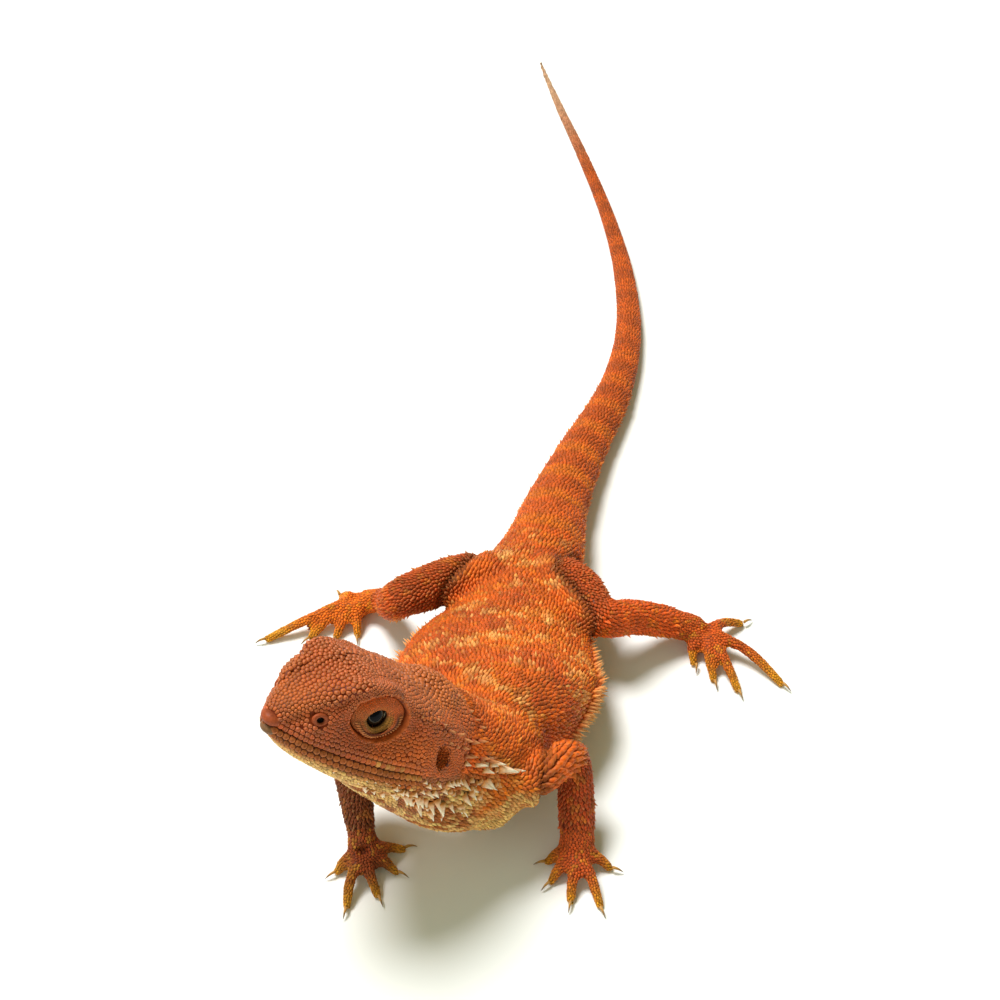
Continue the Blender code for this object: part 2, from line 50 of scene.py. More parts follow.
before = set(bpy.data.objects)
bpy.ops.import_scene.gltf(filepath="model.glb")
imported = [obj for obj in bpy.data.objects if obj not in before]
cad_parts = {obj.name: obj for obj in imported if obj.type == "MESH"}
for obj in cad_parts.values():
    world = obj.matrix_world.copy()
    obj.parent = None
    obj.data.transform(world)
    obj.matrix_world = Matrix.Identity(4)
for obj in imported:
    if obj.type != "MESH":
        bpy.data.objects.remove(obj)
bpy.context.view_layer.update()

MM = 0.001
SIDES = ("left", "right")
TAIL = tuple(f"tail_{i}" for i in range(1, 6))
SPINE_NODES = ("neck", "trunk_front", "trunk_rear") + TAIL
HEAD_NODES = ("head", "lower_jaw")
LIMBS = {"arm": ("upper_arm", "forearm", "hand"), "leg": ("thigh", "shank", "foot")}
FLESH = HEAD_NODES + SPINE_NODES + tuple(
    f"{part}_{side}" for parts in LIMBS.values() for part in parts for side in SIDES)
PAWS = tuple(f"{part}_{side}" for part in ("hand", "foot") for side in SIDES)
CLAWS = {paw: [f"claw_{paw}_{i}" for i in range(1, 6)] for paw in PAWS}

# ---- the head's own lines, in head coordinates ---------------------------------------------
HEAD_TURN = (52.1, 37.0, 3.7)       # degrees turned to the right, snout raised, left side raised
EYE_PLACE = (21.6, 7.0, 6.4)
EYE_LOOK = (-0.34, 0.93, 0.24)
EYE_RADIUS = 3.6
LID_MIDDLE = (21.8, 10.0, 6.7)
LID_LONG = (6.4, 0.0, 1.5)          # half axes of the lids' outer edge
LID_TALL = (-2.5, 0.0, 4.9)
MOUTH_LINE = ((0.0, -0.2), (3.6, -1.1), (8.3, -1.75), (13.0, -2.4), (20.0, -3.2), (28.0, -3.9),
              (36.6, -3.9))         # back and height of the lips' edge
BROW_LINE = ((2.1, 3.8), (4.7, 6.9), (8.3, 9.7), (12.4, 12.4), (16.6, 13.5), (20.7, 13.0),
             (25.8, 11.6), (31.0, 9.5))
BROW_CORNER = (11.2, 8.4, 12.2)     # where the brow's ridge begins
NOSTRIL = (8.3, 4.1)                # back and height
EAR_HOLLOW = ((39.9, 16.6, 0.2), (1.15, 7.0, 1.8))
LIPS_END = 37.5
# The plates at the snout's tip, above and below the mouth: middle, half sizes, colour.
SNOUT_PLATES = (((2.2, 0.3, 0.3), (2.25, 2.5, 1.6), (158, 74, 40)),
                ((2.9, 0.3, -2.1), (2.0, 2.1, 1.35), (126, 90, 60)))
# Rows of scales along the lips: height over the mouth's line, width, first and last place back.
LIP_ROWS = ((0.74, 1.25, 2.2, 36.0), (1.9, 1.2, 3.0, 34.0), (-0.8, 1.5, 2.6, 36.0), (-2.2, 1.4, 3.5, 35.0))
# Radius and height of the ring round the nostril, from its foot over its crest into the pit.
NOSTRIL_PROFILE = ((1.75, -0.5), (1.62, -0.15), (1.45, 0.0), (1.25, 0.08), (1.02, 0.05), (0.82, -0.1),
                   (0.7, -0.4), (0.64, -0.8), (0.4, -1.05))
CORNEA = 0.32                       # how far the clear front of the eye stands out
LID_RINGS = 22
LID_SECTORS = 96
OPENING_MIDDLE = (21.25, 6.45)      # the opening between the lids, back and up
OPENING_LONG = (2.35, 0.45)
OPENING_TALL = (-0.45, 2.1)
LID_ROWS = (0.07, 0.19, 0.31, 0.43, 0.55, 0.67, 0.79, 0.9)
COMB_TEETH = 24

# ---- skin and coat ---------------------------------------------------------------------------
SWELLING = 0.25                     # the shells are swollen by this before they are made one skin
FOLD_DEPTH = 0.9                    # furrow where a limb leaves the trunk
SKIN_OVER_FLOOR = 0.12
COAT_OVER_FLOOR = 0.03
TRUNK_BAR = 11.5                    # spacing of the cross bars
TAIL_BAR = 11.0
CLAW_ROOT = 1.1                     # how far a claw starts inside the toe
SPINE_CURL = 0.25
PATCH_SIZE = 0.003                  # of one scale or spine on the texture square
MOST_TRIANGLES = 190000             # in one piece of the coat

# ---- colours ---------------------------------------------------------------------------------
# Paint chart values from 0 to 255 for each length of limb and each paw.
LIMB_CHART = {"upper_arm_left": (240, 112, 46), "forearm_left": (170, 62, 12),
              "upper_arm_right": (112, 40, 12), "forearm_right": (84, 28, 8),
              "thigh_left": (182, 74, 18), "shank_left": (238, 102, 24),
              "thigh_right": (172, 70, 18), "shank_right": (204, 90, 28)}
PAW_CHART = {"hand_left": (194, 80, 8), "hand_right": (132, 50, 8),
             "foot_left": (214, 94, 18), "foot_right": (248, 126, 26)}
# Linear colours of painted shade in pits, holes and creases, of the pupil, and of worn edges.
PIT_SHADE = np.array([0.005, 0.0025, 0.002])
NOSTRIL_SHADE = np.array([0.008, 0.004, 0.003])
CREASE_SHADE = np.array([0.012, 0.006, 0.004])
PUPIL = np.array([0.004, 0.004, 0.007])
WORN_RIM = (0.62, 0.25, 0.1, 1.0)

# ---- stage -----------------------------------------------------------------------------------
FLOOR_SIDE = 40.0
# Name, direction that the light comes from, width of its disc in degrees, strength.
LAMPS = (("key", (-0.34, 0.3, 1.0), 24.0, 3.75), ("fill", (-0.7, -0.75, 0.8), 60.0, 0.56))
CAMERA_FROM_SNOUT = np.array([48.2, -267.6, 340.6])
CAMERA_TILT = 44.0                  # degrees up from straight down
CAMERA_LENS = 76.48                 # focal length, on a sensor as wide as the next line says
CAMERA_SENSOR = 36.0
# Linear colours of the floor and of the backdrop, and how strongly the backdrop lights the animal.
FLOOR_WHITE = (0.93, 0.93, 0.915, 1.0)
BACKDROP = (0.86, 1.0, 0.6, 1.0)
BACKDROP_LIGHT = 0.28


def unit(v):
    return v / np.maximum(np.linalg.norm(v, axis=-1, keepdims=True), 1e-9)


def step(low, high, x):
    t = np.clip((x - low) / (high - low), 0.0, 1.0)
    return t * t * (3.0 - 2.0 * t)


def mix(a, b, t):
    return a + (b - a) * np.asarray(t)[..., None]


def linear(colour):
    """Linear colour from the 0 to 255 values of a paint chart."""
    c = np.asarray(colour, float) / 255.0
    return np.where(c <= 0.04045, c / 12.92, ((c + 0.055) / 1.055) ** 2.4)


def over(colour, chart, amount):
    """The colour painted over with a paint chart's value, as far as the amount says."""
    return mix(colour, linear(chart), amount)


def hump(x, width):
    """A round hump over 0 that is 1 high."""
    return np.exp(-(x / width) ** 2)


def lumps(points, cell, seed=0):
    """Smooth random values from 0 to 1, in lumps about one cell across."""
    place = points / cell + seed * 17.3
    base = np.floor(place).astype(np.int64)
    t = place - base
    t = t * t * (3.0 - 2.0 * t)
    total = np.zeros(len(points))
    for corner in range(8):
        offset = np.array([corner & 1, corner >> 1 & 1, corner >> 2])
        key = ((base + offset) * np.array([73856093, 19349663, 83492791])).sum(axis=1) + seed
        key = (key ^ (key >> 13)) * 1274126177 & 0xFFFFFFFF
        value = ((key ^ (key >> 16)) & 0xFFFF) / 65535.0
        total += value * np.prod(np.where(offset == 1, t, 1.0 - t), axis=1)
    return total


# ---- the frame read as lines and coordinates -------------------------------------------------

def head_axes():
    """The head's back, left and up directions, one in each row."""
    yaw, pitch, roll = (math.radians(a) for a in HEAD_TURN)
    ahead = np.array([-math.sin(yaw) * math.cos(pitch), -math.cos(yaw) * math.cos(pitch),
                      math.sin(pitch)])
    up = np.array([math.sin(yaw) * math.sin(pitch), math.cos(yaw) * math.sin(pitch),
                   math.cos(pitch)])
    left = np.cross(up, ahead)
    left, up = (math.cos(roll) * left + math.sin(roll) * up,
                math.cos(roll) * up - math.sin(roll) * left)
    return np.array([-ahead, left, up])


def box_middle(node):
    low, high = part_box(node)
    return np.array((low + high) / 2) / MM


HEAD_AXES = head_axes()
SNOUT = ((box_middle("eye_left") + box_middle("eye_right")) / 2
         - np.array([EYE_PLACE[0], 0.0, EYE_PLACE[2]]) @ HEAD_AXES)


def to_head(points):
    return (points - SNOUT) @ HEAD_AXES.T


def from_head(points):
    return SNOUT + np.asarray(points, float) @ HEAD_AXES


def mirrored(q):
    """Head coordinates with the right side laid on the left."""
    return np.stack([q[:, 0], np.abs(q[:, 1]), q[:, 2]], axis=1)


def mouth_height(b):
    return np.interp(b, *zip(*MOUTH_LINE))


def nostril_distance(q):
    return np.hypot(q[:, 0] - NOSTRIL[0], q[:, 2] - NOSTRIL[1])


def ear_distance(q):
    """1 on the edge of the ear's hollow, less inside it."""
    middle, radii = EAR_HOLLOW
    return np.linalg.norm((mirrored(q) - middle) / radii, axis=1)


def above_trough(b, u):
    """Height over the shallow trough that runs back from the ear."""
    return u - 0.2 + 0.28 * (b - 39.0)


def read_node(name):
    """A frame node's corners in millimetres and its triangles."""
    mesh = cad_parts[name].data
    mesh.calc_loop_triangles()
    points = np.empty(len(mesh.vertices) * 3, np.float32)
    mesh.vertices.foreach_get("co", points)
    faces = np.empty(len(mesh.loop_triangles) * 3, np.int32)
    mesh.loop_triangles.foreach_get("vertices", faces)
    return points.reshape(-1, 3).astype(float) / MM, faces.reshape(-1, 3)


class Solids:
    """The frame's flesh as one bank of triangles that knows which node each belongs to."""

    def __init__(self):
        self.points = {}
        self.trees = {}
        corners, faces, labels, count = [], [], [], 0
        for index, name in enumerate(FLESH):
            points, tris = read_node(name)
            self.points[name] = points
            self.trees[name] = BVHTree.FromPolygons(points.tolist(), tris.tolist())
            corners.append(points)
            faces.append(tris + count)
            labels += [index] * len(tris)
            count += len(points)
        self.corners = np.concatenate(corners)
        self.faces = np.concatenate(faces)
        self.labels = np.array(labels)
        self.tree = BVHTree.FromPolygons(self.corners.tolist(), self.faces.tolist())

    def node_at(self, points):
        return np.array([self.labels[self.tree.find_nearest(p)[2]] for p in points.tolist()])

    def cut_between(self, a, b):
        """Middle of the cut where node a meets node b."""
        near = [p for p in self.points[a].tolist() if self.trees[b].find_nearest(p)[3] < 0.7]
        return np.mean(near, axis=0)

    def section(self, names, y):
        """Middle, half width, bottom and top of the nodes' cross-section at this y."""
        keep = np.isin(self.labels, [FLESH.index(n) for n in names])
        tri = self.corners[self.faces[keep]]
        found = []
        for a, b in ((0, 1), (1, 2), (2, 0)):
            p, q = tri[:, a], tri[:, b]
            crossing = (p[:, 1] - y) * (q[:, 1] - y) < 0
            p, q = p[crossing], q[crossing]
            t = (y - p[:, 1]) / (q[:, 1] - p[:, 1])
            found.append(p + (q - p) * t[:, None])
        found = np.concatenate(found)
        low, high = found.min(axis=0), found.max(axis=0)
        return (low + high) / 2, (high[0] - low[0]) / 2, low[2], high[2]


solids = Solids()


def polyline(points):
    points = np.array(points, float)
    lengths = np.linalg.norm(np.diff(points, axis=0), axis=1)
    return {"points": points, "starts": np.concatenate([[0.0], np.cumsum(lengths)])}


def along(line, points):
    """Nearest place on the line for each point: distance along it, the place and the direction."""
    a, b = line["points"][:-1], line["points"][1:]
    best = np.full(len(points), np.inf)
    s = np.zeros(len(points))
    place = np.zeros((len(points), 3))
    way = np.zeros((len(points), 3))
    for i in range(len(a)):
        d = b[i] - a[i]
        t = np.clip((points - a[i]) @ d / (d @ d), 0.0, 1.0)
        p = a[i] + t[:, None] * d
        gap = np.linalg.norm(points - p, axis=1)
        closer = gap < best
        best[closer] = gap[closer]
        s[closer] = line["starts"][i] + t[closer] * np.linalg.norm(d)
        place[closer] = p[closer]
        way[closer] = d / np.linalg.norm(d)
    return s, place, way, best


def body_lines():
    """The lines that the scales follow: head to tail tip, each limb, and each toe."""
    lines = {}
    y0 = solids.points["trunk_front"][:, 1].min() + 13.0
    y1 = solids.points["tail_5"][:, 1].max() - 0.5
    spine = [from_head((40.0, 0.0, -4.0)), from_head((52.0, 0.0, -8.0))]
    for y in np.arange(y0, y1, 6.0):
        spine.append(solids.section(SPINE_NODES, y)[0])
    lines["spine"] = polyline(spine)
    for kind, (upper, lower, paw) in LIMBS.items():
        trunk = "trunk_front" if kind == "arm" else "trunk_rear"
        for side in SIDES:
            names = [f"{part}_{side}" for part in (upper, lower, paw)]
            palm = solids.points[names[2]]
            middle = palm[palm[:, 2] > 1.0].mean(axis=0)
            joints = [solids.cut_between(names[0], trunk), solids.cut_between(names[0], names[1]),
                      solids.cut_between(names[1], names[2])]
            lines[f"{kind}_{side}"] = polyline(joints + [middle])
            for claw in CLAWS[names[2]]:
                lines[claw] = polyline([joints[2], middle, box_middle(claw)])
    return lines


LINES = body_lines()
SPINE_LENGTH = LINES["spine"]["starts"][-1]
TAIL_START = along(LINES["spine"], solids.cut_between("tail_1", "trunk_rear")[None])[0][0]
SHOULDERS = solids.cut_between("upper_arm_left", "trunk_front")[1]
GROUPS = ("head", "spine", "arm_left", "arm_right", "leg_left", "leg_right") + PAWS


def group_of(label):
    name = FLESH[label]
    if name in HEAD_NODES:
        return "head"
    if name in SPINE_NODES:
        return "spine"
    if name in PAWS:
        return name
    part, side = name.rsplit("_", 1)
    return f"{'arm' if part in LIMBS['arm'] else 'leg'}_{side}"


GROUP_OF_LABEL = np.array([GROUPS.index(group_of(i)) for i in range(len(FLESH))])


def tail_share(s):
    """0 at the tail's start, 1 at its tip."""
    return np.clip((s - TAIL_START) / (SPINE_LENGTH - TAIL_START), 0.0, 1.0)


def locate(points, labels):
    """Where each point of the body's surface is: its group, distance along, angle round and lie."""
    group = GROUP_OF_LABEL[labels]
    s, angle, toe = (np.zeros(len(points)) for _ in range(3))
    lie = np.zeros((len(points), 3))
    for g, name in enumerate(GROUPS):
        here = np.flatnonzero(group == g)
        p = points[here]
        if not len(here):
            continue
        if name == "head":
            q = to_head(p)
            s[here] = q[:, 0]
            angle[here] = np.arctan2(q[:, 1], q[:, 2] + 4.0)
            lie[here] = HEAD_AXES[0]
        elif name in PAWS:
            best = np.full(len(here), np.inf)
            for claw in CLAWS[name]:
                d, place, way, gap = along(LINES[claw], p)
                closer = gap < best
                best[closer] = gap[closer]
                index = here[closer]
                starts = LINES[claw]["starts"]
                s[index] = d[closer]
                toe[index] = step(starts[1] + 1.5, starts[2], d[closer])
                lie[index] = way[closer]
                out = p[closer] - place[closer]
                side = unit(np.cross(way[closer], [0.0, 0.0, 1.0]))
                angle[index] = np.arctan2((out * side).sum(axis=1), out[:, 2])
        else:
            d, place, way, _ = along(LINES[name], p)
            out = p - place
            side = unit(np.cross([0.0, 0.0, 1.0], way))
            s[here] = d
            angle[here] = np.arctan2((out * side).sum(axis=1), out[:, 2])
            lie[here] = way
    return {"group": group, "label": labels, "s": s, "angle": angle, "lie": lie, "toe": toe}


def regions(where):
    """Which points are on the head, spine, trunk, tail, limbs, paws and shoulders."""
    group = where["group"]
    head, spine = (group == GROUPS.index(name) for name in ("head", "spine"))
    tail = spine & (where["s"] > TAIL_START)
    paws = group >= GROUPS.index(PAWS[0])
    upper_arms = [FLESH.index(f"upper_arm_{side}") for side in SIDES]
    return {"head": head, "spine": spine, "trunk": spine & ~tail, "tail": tail, "paws": paws,
            "limbs": ~(head | spine | paws), "shoulder": np.isin(where["label"], upper_arms)}


# ---- markings --------------------------------------------------------------------------------

# Spots of old pale skin, and how far they reach.
SHED_SPOTS = ((from_head((56.0, 17.5, -1.0)), 2.2), (np.array([3.0, -119.2, 22.0]), 1.6))


def head_colours(points, settings):
    """Brick red head, paler towards the nape, brownish lips and a cream-green jaw below."""
    b, l, u = mirrored(to_head(points)).T
    mouth = mouth_height(b)
    rough = lumps(points, 2.6, 3)
    nape = step(24, 50, b) * step(4, 9, u) * (0.35 + 0.65 * rough)
    colour = over(linear(settings.head_red), (232, 122, 52), nape)
    colour = over(colour, (202, 106, 50), step(12, 3, b) * step(1, 4, u) * 0.6)
    above_lip = step(2.6, 0.4, np.abs(u - mouth - 3.4)) * step(20, 6, b)
    colour = over(colour, (150, 64, 28), above_lip * 0.3)
    colour = over(colour, (124, 48, 22), step(0.55, 0.8, lumps(points, 3.4, 8)) * 0.4)
    cheek = step(6.0, 2.0, u) * step(16, 28, b)
    colour = over(colour, (238, 114, 52), cheek * 0.85)
    under = step(mouth - 2.0, mouth - 4.2, u)
    lower_lip = step(mouth + 0.2, mouth - 0.6, u) * (1 - under)
    colour = over(colour, (152, 88, 54), lower_lip * 0.8)
    red_patches = step(0.45, 0.62, lumps(points, 1.5, 9)) * step(22, 34, b)
    cream = over(linear(settings.jaw_cream), (154, 72, 30), red_patches * 0.9)
    colour = mix(colour, cream, under * step(0.0, 1.0, under + rough * 0.5))
    pale_row = step(1.1, 0.2, np.abs(u + 2.3 + 0.165 * (b - 22))) * step(21, 24, b) * step(39, 33, b)
    pale_row = pale_row * (l > 5) * step(0.25, 0.5, lumps(points, 1.3, 5))
    return over(colour, (232, 184, 110), pale_row * 0.8)


def spine_colours(points, where, settings):
    """Orange-red trunk with broken pale cross blotches, cream below, and a banded tail."""
    s, angle = where["s"], np.abs(where["angle"])
    back_from_tail = s - TAIL_START
    wobble = (lumps(points, 9.0, 11) - 0.5) * 9.0
    fine = lumps(points * np.array([0.6, 1.5, 1.0]), 1.15, 12)
    colour = over(linear(settings.trunk_orange), (196, 84, 26), step(0.35, 0.75, lumps(points, 6.0, 13)))
    bars = np.cos((back_from_tail + wobble) * 2 * math.pi / TRUNK_BAR) * 0.5 + 0.5
    pale = step(0.56, 0.8, bars * 0.36 + fine * 0.75) * step(1.75, 1.1, angle)
    pale = pale * (0.35 + 0.65 * step(0.35, 0.6, lumps(points, 4.0, 14)))
    colour = mix(colour, linear(settings.blotch_yellow), pale * 0.68)
    dark = step(0.62, 0.85, lumps(points, 3.2, 15)) * (back_from_tail < 0)
    colour = over(colour, (150, 62, 26), dark * 0.45)

    belly = step(1.65, 2.2, angle)
    behind_chest = step(-80.0, -30.0, back_from_tail)
    chest = over(linear(settings.throat_cream), (176, 74, 28), step(0.4, 0.7, fine) * 0.7)
    colour = mix(colour, chest, belly * (1 - behind_chest))
    colour = over(colour, (222, 168, 104), belly * behind_chest * 0.8)

    share = tail_share(s)
    tail = over(linear(settings.tail_orange), (178, 82, 40), share ** 1.5)
    phase = (back_from_tail + (lumps(points, 4.0, 16) - 0.5) * 2.2) * 2 * math.pi / TAIL_BAR
    bars = np.cos(phase) * 0.5 + 0.5
    dark = step(0.35, 0.9, bars) * step(2.6, 1.9, angle) * (0.4 + 0.3 * share) * step(0.03, 0.14, share)
    tail = mix(tail, linear(settings.tail_band), dark)
    tail = over(tail, (226, 140, 74), step(0.55, 0.9, 1 - bars) * 0.35 * step(0.5, 0.1, share))
    tail = over(tail, (226, 200, 168), step(0.72, 0.97, share) * 0.75)
    colour = mix(colour, tail, step(-6.0, 6.0, back_from_tail))

    under_neck = (where["label"] == FLESH.index("neck")) * step(1.0, 1.5, angle)
    ahead = step(SHOULDERS + 10.0, SHOULDERS - 2.0, points[:, 1]) * step(27.0, 19.0, points[:, 2])
    ahead = ahead * step(3.0, -3.0, points[:, 0])
    patches = step(0.45, 0.7, lumps(points, 1.7, 17))
    throat = over(linear(settings.throat_cream), (178, 76, 28), patches * 0.55)
    return mix(colour, throat, np.clip(ahead + under_neck, 0, 1))


def chart_colours(where, chart):
    """Each point's linear colour by the name of the solid that it is on."""
    names = np.array(FLESH)[where["label"]]
    colour = np.zeros((len(names), 3))
    for name, value in chart.items():
        colour[names == name] = linear(value)
    return colour


def limb_colours(points, where):
    """Red-brown limbs, deepest on the right arm, with a pale underside and speckles."""
    colour = chart_colours(where, LIMB_CHART)
    colour = over(colour, (226, 150, 92), step(0.62, 0.8, lumps(points, 1.6, 21)) * 0.35)
    colour = mix(colour, colour * 0.6, step(0.55, 0.8, lumps(points, 3.0, 22)) * 0.5)
    return over(colour, (205, 150, 92), step(1.9, 2.6, np.abs(where["angle"])) * 0.7)


def paw_colours(points, where, settings):
    """Orange-brown hands and feet with toes that end in yellow ochre."""
    colour = chart_colours(where, PAW_CHART)
    colour = mix(colour, linear(settings.toe_ochre), where["toe"] ** 1.6 * 0.9)
    return over(colour, (232, 176, 92), step(0.6, 0.85, lumps(points, 1.1, 23)) * 0.45)


def markings(points, where, settings):
    """Linear colour of the animal at each place of its surface."""
    colour = np.zeros((len(points), 3))
    part = regions(where)

    def within(keep):
        return points[keep], {key: value[keep] for key, value in where.items()}

    colour[part["head"]] = head_colours(points[part["head"]], settings)
    colour[part["spine"]] = spine_colours(*within(part["spine"]), settings)
    colour[part["limbs"]] = limb_colours(*within(part["limbs"]))
    colour[part["paws"]] = paw_colours(*within(part["paws"]), settings)
    q = to_head(points)
    by_head = part["spine"] & (np.abs(q[:, 1]) < 24) & (q[:, 2] > -30)
    share = step(63.0, 53.0, q[:, 0] + 6.0 * (lumps(points, 4.0, 31) - 0.5)) * by_head
    colour = mix(colour, head_colours(points, settings), share)
    for place, reach in SHED_SPOTS:
        far = np.linalg.norm(points - place, axis=1) + 1.2 * (lumps(points, 1.0, 33) - 0.5)
        colour = over(colour, (172, 170, 142), step(reach, 0.6 * reach, far) * 0.8)
    grey = colour.mean(axis=1, keepdims=True)
    return np.clip(grey + (colour - grey) * settings.richness, 0.003, 1) * settings.paint_depth


# ---- meshes and materials ----------------------------------------------------------------------

def add_object(name, data):
    obj = bpy.data.objects.new(name, data)
    bpy.context.scene.collection.objects.link(obj)
    return obj


def store(mesh, label, values):
    """Write numbers, directions or colours on the mesh's corners as a named attribute."""
    values = np.asarray(values, np.float32)
    if label.endswith("Colour"):
        values = np.concatenate([values, np.ones((len(values), 1), np.float32)], axis=1)
        kind, field = "FLOAT_COLOR", "color"
    else:
        kind, field = ("FLOAT", "value") if values.ndim == 1 else ("FLOAT_VECTOR", "vector")
    mesh.attributes.new(label, kind, "POINT").data.foreach_set(field, values.ravel())


def make_mesh(name, points, faces, colours=None, rim=None, patches=None, smooth=True):
    """An object at the origin from corners in millimetres and faces of equal or mixed size."""
    mesh = bpy.data.meshes.new(name)
    if isinstance(faces, tuple):
        flat, sizes = faces
    else:
        sizes = np.array([len(f) for f in faces])
        flat = np.concatenate([np.asarray(f) for f in faces])
    starts = np.concatenate([[0], np.cumsum(sizes)[:-1]])
    mesh.vertices.add(len(points))
    mesh.vertices.foreach_set("co", (np.asarray(points) * MM).astype(np.float32).ravel())
    mesh.loops.add(len(flat))
    mesh.loops.foreach_set("vertex_index", flat.astype(np.int32))
    mesh.polygons.add(len(sizes))
    mesh.polygons.foreach_set("loop_start", starts.astype(np.int32))
    mesh.update(calc_edges=True)
    mesh.polygons.foreach_set("use_smooth", np.full(len(sizes), smooth))
    if colours is not None:
        store(mesh, "Colour", np.clip(colours, 0, 1))
    if rim is not None:
        store(mesh, "Rim", rim)
    if patches is not None:
        layer = mesh.uv_layers.new(name="OFBake")
        layer.data.foreach_set("uv", patches[flat].astype(np.float32).ravel())
    return add_object(name, mesh)


def node_maker(tree):
    """A function that adds a node: traits by name, and inputs from values or other nodes' outputs."""
    def add(kind, inputs=None, **traits):
        node = tree.nodes.new(kind)
        for trait, value in traits.items():
            setattr(node, trait, value)
        for socket, value in (inputs or {}).items():
            if isinstance(value, bpy.types.NodeSocket):
                tree.links.new(value, node.inputs[socket])
            else:
                node.inputs[socket].default_value = value
        return node
    return add


def new_group(name, kind, given, results):
    """An empty node group with named sockets."""
    tree = bpy.data.node_groups.new(name, kind)
    for way, sockets in (("INPUT", given), ("OUTPUT", results)):
        for label, socket in sockets.items():
            tree.interface.new_socket(label, in_out=way, socket_type=f"NodeSocket{socket}")
    return tree


def grain_group():
    """Shader group that mottles a painted colour, pales worn rims and gives a fine grain to bump."""
    name = "Dragon Grain"
    if name in bpy.data.node_groups:
        return bpy.data.node_groups[name]
    tree = new_group(name, "ShaderNodeTree",
                     {"Colour": "Color", "Rim": "Float", "Rim Colour": "Color", "Rim Amount": "Float",
                      "Grain Size": "Float", "Mottle": "Float"},
                     {"Colour": "Color", "Roughness": "Float", "Height": "Float"})
    add = node_maker(tree)
    given = add("NodeGroupInput").outputs
    place = add("ShaderNodeTexCoord").outputs["Object"]
    noise = add("ShaderNodeTexNoise", {"Detail": 3.0, "Vector": place,
                                       "Scale": given["Grain Size"]}).outputs["Fac"]
    swing = add("ShaderNodeMapRange", {"Value": noise, "From Min": 0.3, "From Max": 0.7, "To Min": -1.0,
                                       "To Max": 1.0}).outputs["Result"]
    gain = add("ShaderNodeMath", {0: swing, 1: given["Mottle"], 2: 1.0}, operation="MULTIPLY_ADD").outputs[0]
    shade = add("ShaderNodeVectorMath", {0: given["Colour"], "Scale": gain}, operation="SCALE").outputs[0]
    amount = add("ShaderNodeMath", {0: given["Rim"], 1: given["Rim Amount"]}, operation="MULTIPLY").outputs[0]
    worn = add("ShaderNodeMix", {"Factor": amount, "A": shade, "B": given["Rim Colour"]},
               data_type="RGBA").outputs["Result"]
    rough = add("ShaderNodeMapRange", {"Value": noise, "To Min": 0.36, "To Max": 0.58}).outputs["Result"]
    add("NodeGroupOutput", {"Colour": worn, "Roughness": rough, "Height": noise})
    return tree


def flesh_material(name, rim_amount=0.0, grain=1400.0, mottle=0.18, bump=0.25, specular=0.15):
    """Principled material whose colour is the mesh's Colour attribute, worked over by the grain group."""
    material = bpy.data.materials.new(name)
    material.use_nodes = True
    tree = material.node_tree
    add = node_maker(tree)
    colour = add("ShaderNodeAttribute", attribute_name="Colour").outputs["Color"]
    rim = add("ShaderNodeAttribute", attribute_name="Rim").outputs["Fac"]
    worked = add("ShaderNodeGroup", {"Colour": colour, "Rim": rim, "Rim Colour": WORN_RIM,
                                     "Rim Amount": rim_amount, "Grain Size": grain, "Mottle": mottle},
                 node_tree=grain_group()).outputs
    lift = add("ShaderNodeBump", {"Strength": bump, "Distance": 0.0001, "Height": worked["Height"]})
    shader = tree.nodes["Principled BSDF"]
    for output, socket in ((lift.outputs["Normal"], "Normal"), (worked["Colour"], "Base Color"),
                           (worked["Roughness"], "Roughness")):
        tree.links.new(output, shader.inputs[socket])
    shader.inputs["Specular IOR Level"].default_value = specular
    return material


def dress(obj, material, slot, *nodes):
    """Give a finished piece its material and body, and hide the frame nodes it stands for; the record slot is
    not used.
    """
    obj.data.materials.clear()
    obj.data.materials.append(material)
    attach(obj, "root")
    if nodes:
        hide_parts(*nodes)
    return obj


def evaluated_copy(obj, name):
    """A plain mesh of what the object's modifiers make."""
    graph = bpy.context.evaluated_depsgraph_get()
    mesh = bpy.data.meshes.new_from_object(obj.evaluated_get(graph), depsgraph=graph)
    mesh.name = name
    return mesh


# ---- skin ----------------------------------------------------------------------------------------

made = {}


def swollen_solids(by):
    """All flesh nodes as closed shells, each swollen a little so that they run into each other."""
    gathered = bmesh.new()
    for name in FLESH:
        shell = bmesh.new()
        shell.from_mesh(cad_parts[name].data)
        bmesh.ops.remove_doubles(shell, verts=shell.verts, dist=1e-6)
        shell.normal_update()
        moves = [vert.normal * by * MM for vert in shell.verts]
        for vert, move in zip(shell.verts, moves):
            vert.co += move
        mesh = bpy.data.meshes.new("shell")
        shell.to_mesh(mesh)
        shell.free()
        gathered.from_mesh(mesh)
        bpy.data.meshes.remove(mesh)
    mesh = bpy.data.meshes.new("shells")
    gathered.to_mesh(mesh)
    gathered.free()
    return add_object("shells", mesh)


def smoothed(points, edges, rounds, weight=1.0, share=0.5, back=-0.53):
    """Taubin smoothing: rounds of a shrinking and a swelling pass, as strong as the weight."""
    count = np.bincount(edges.ravel(), minlength=len(points))[:, None]
    points = points.copy()
    for i in range(rounds * 2):
        total = np.zeros_like(points)
        for axis in range(3):
            total[:, axis] = (
                np.bincount(edges[:, 0], points[edges[:, 1], axis], len(points))
                + np.bincount(edges[:, 1], points[edges[:, 0], axis], len(points)))
        points += weight * (share if i % 2 == 0 else back) * (total / np.maximum(count, 1) - points)
    return points


JOINTS = tuple((f"{a}_{side}", f"{b}_{side}") for parts in LIMBS.values()
               for a, b in zip(parts, parts[1:]) for side in SIDES)
FOLDS = tuple((f"{limb}_{side}", trunk) for side in SIDES
              for limb, trunk in (("thigh", "trunk_rear"), ("upper_arm", "trunk_front")))


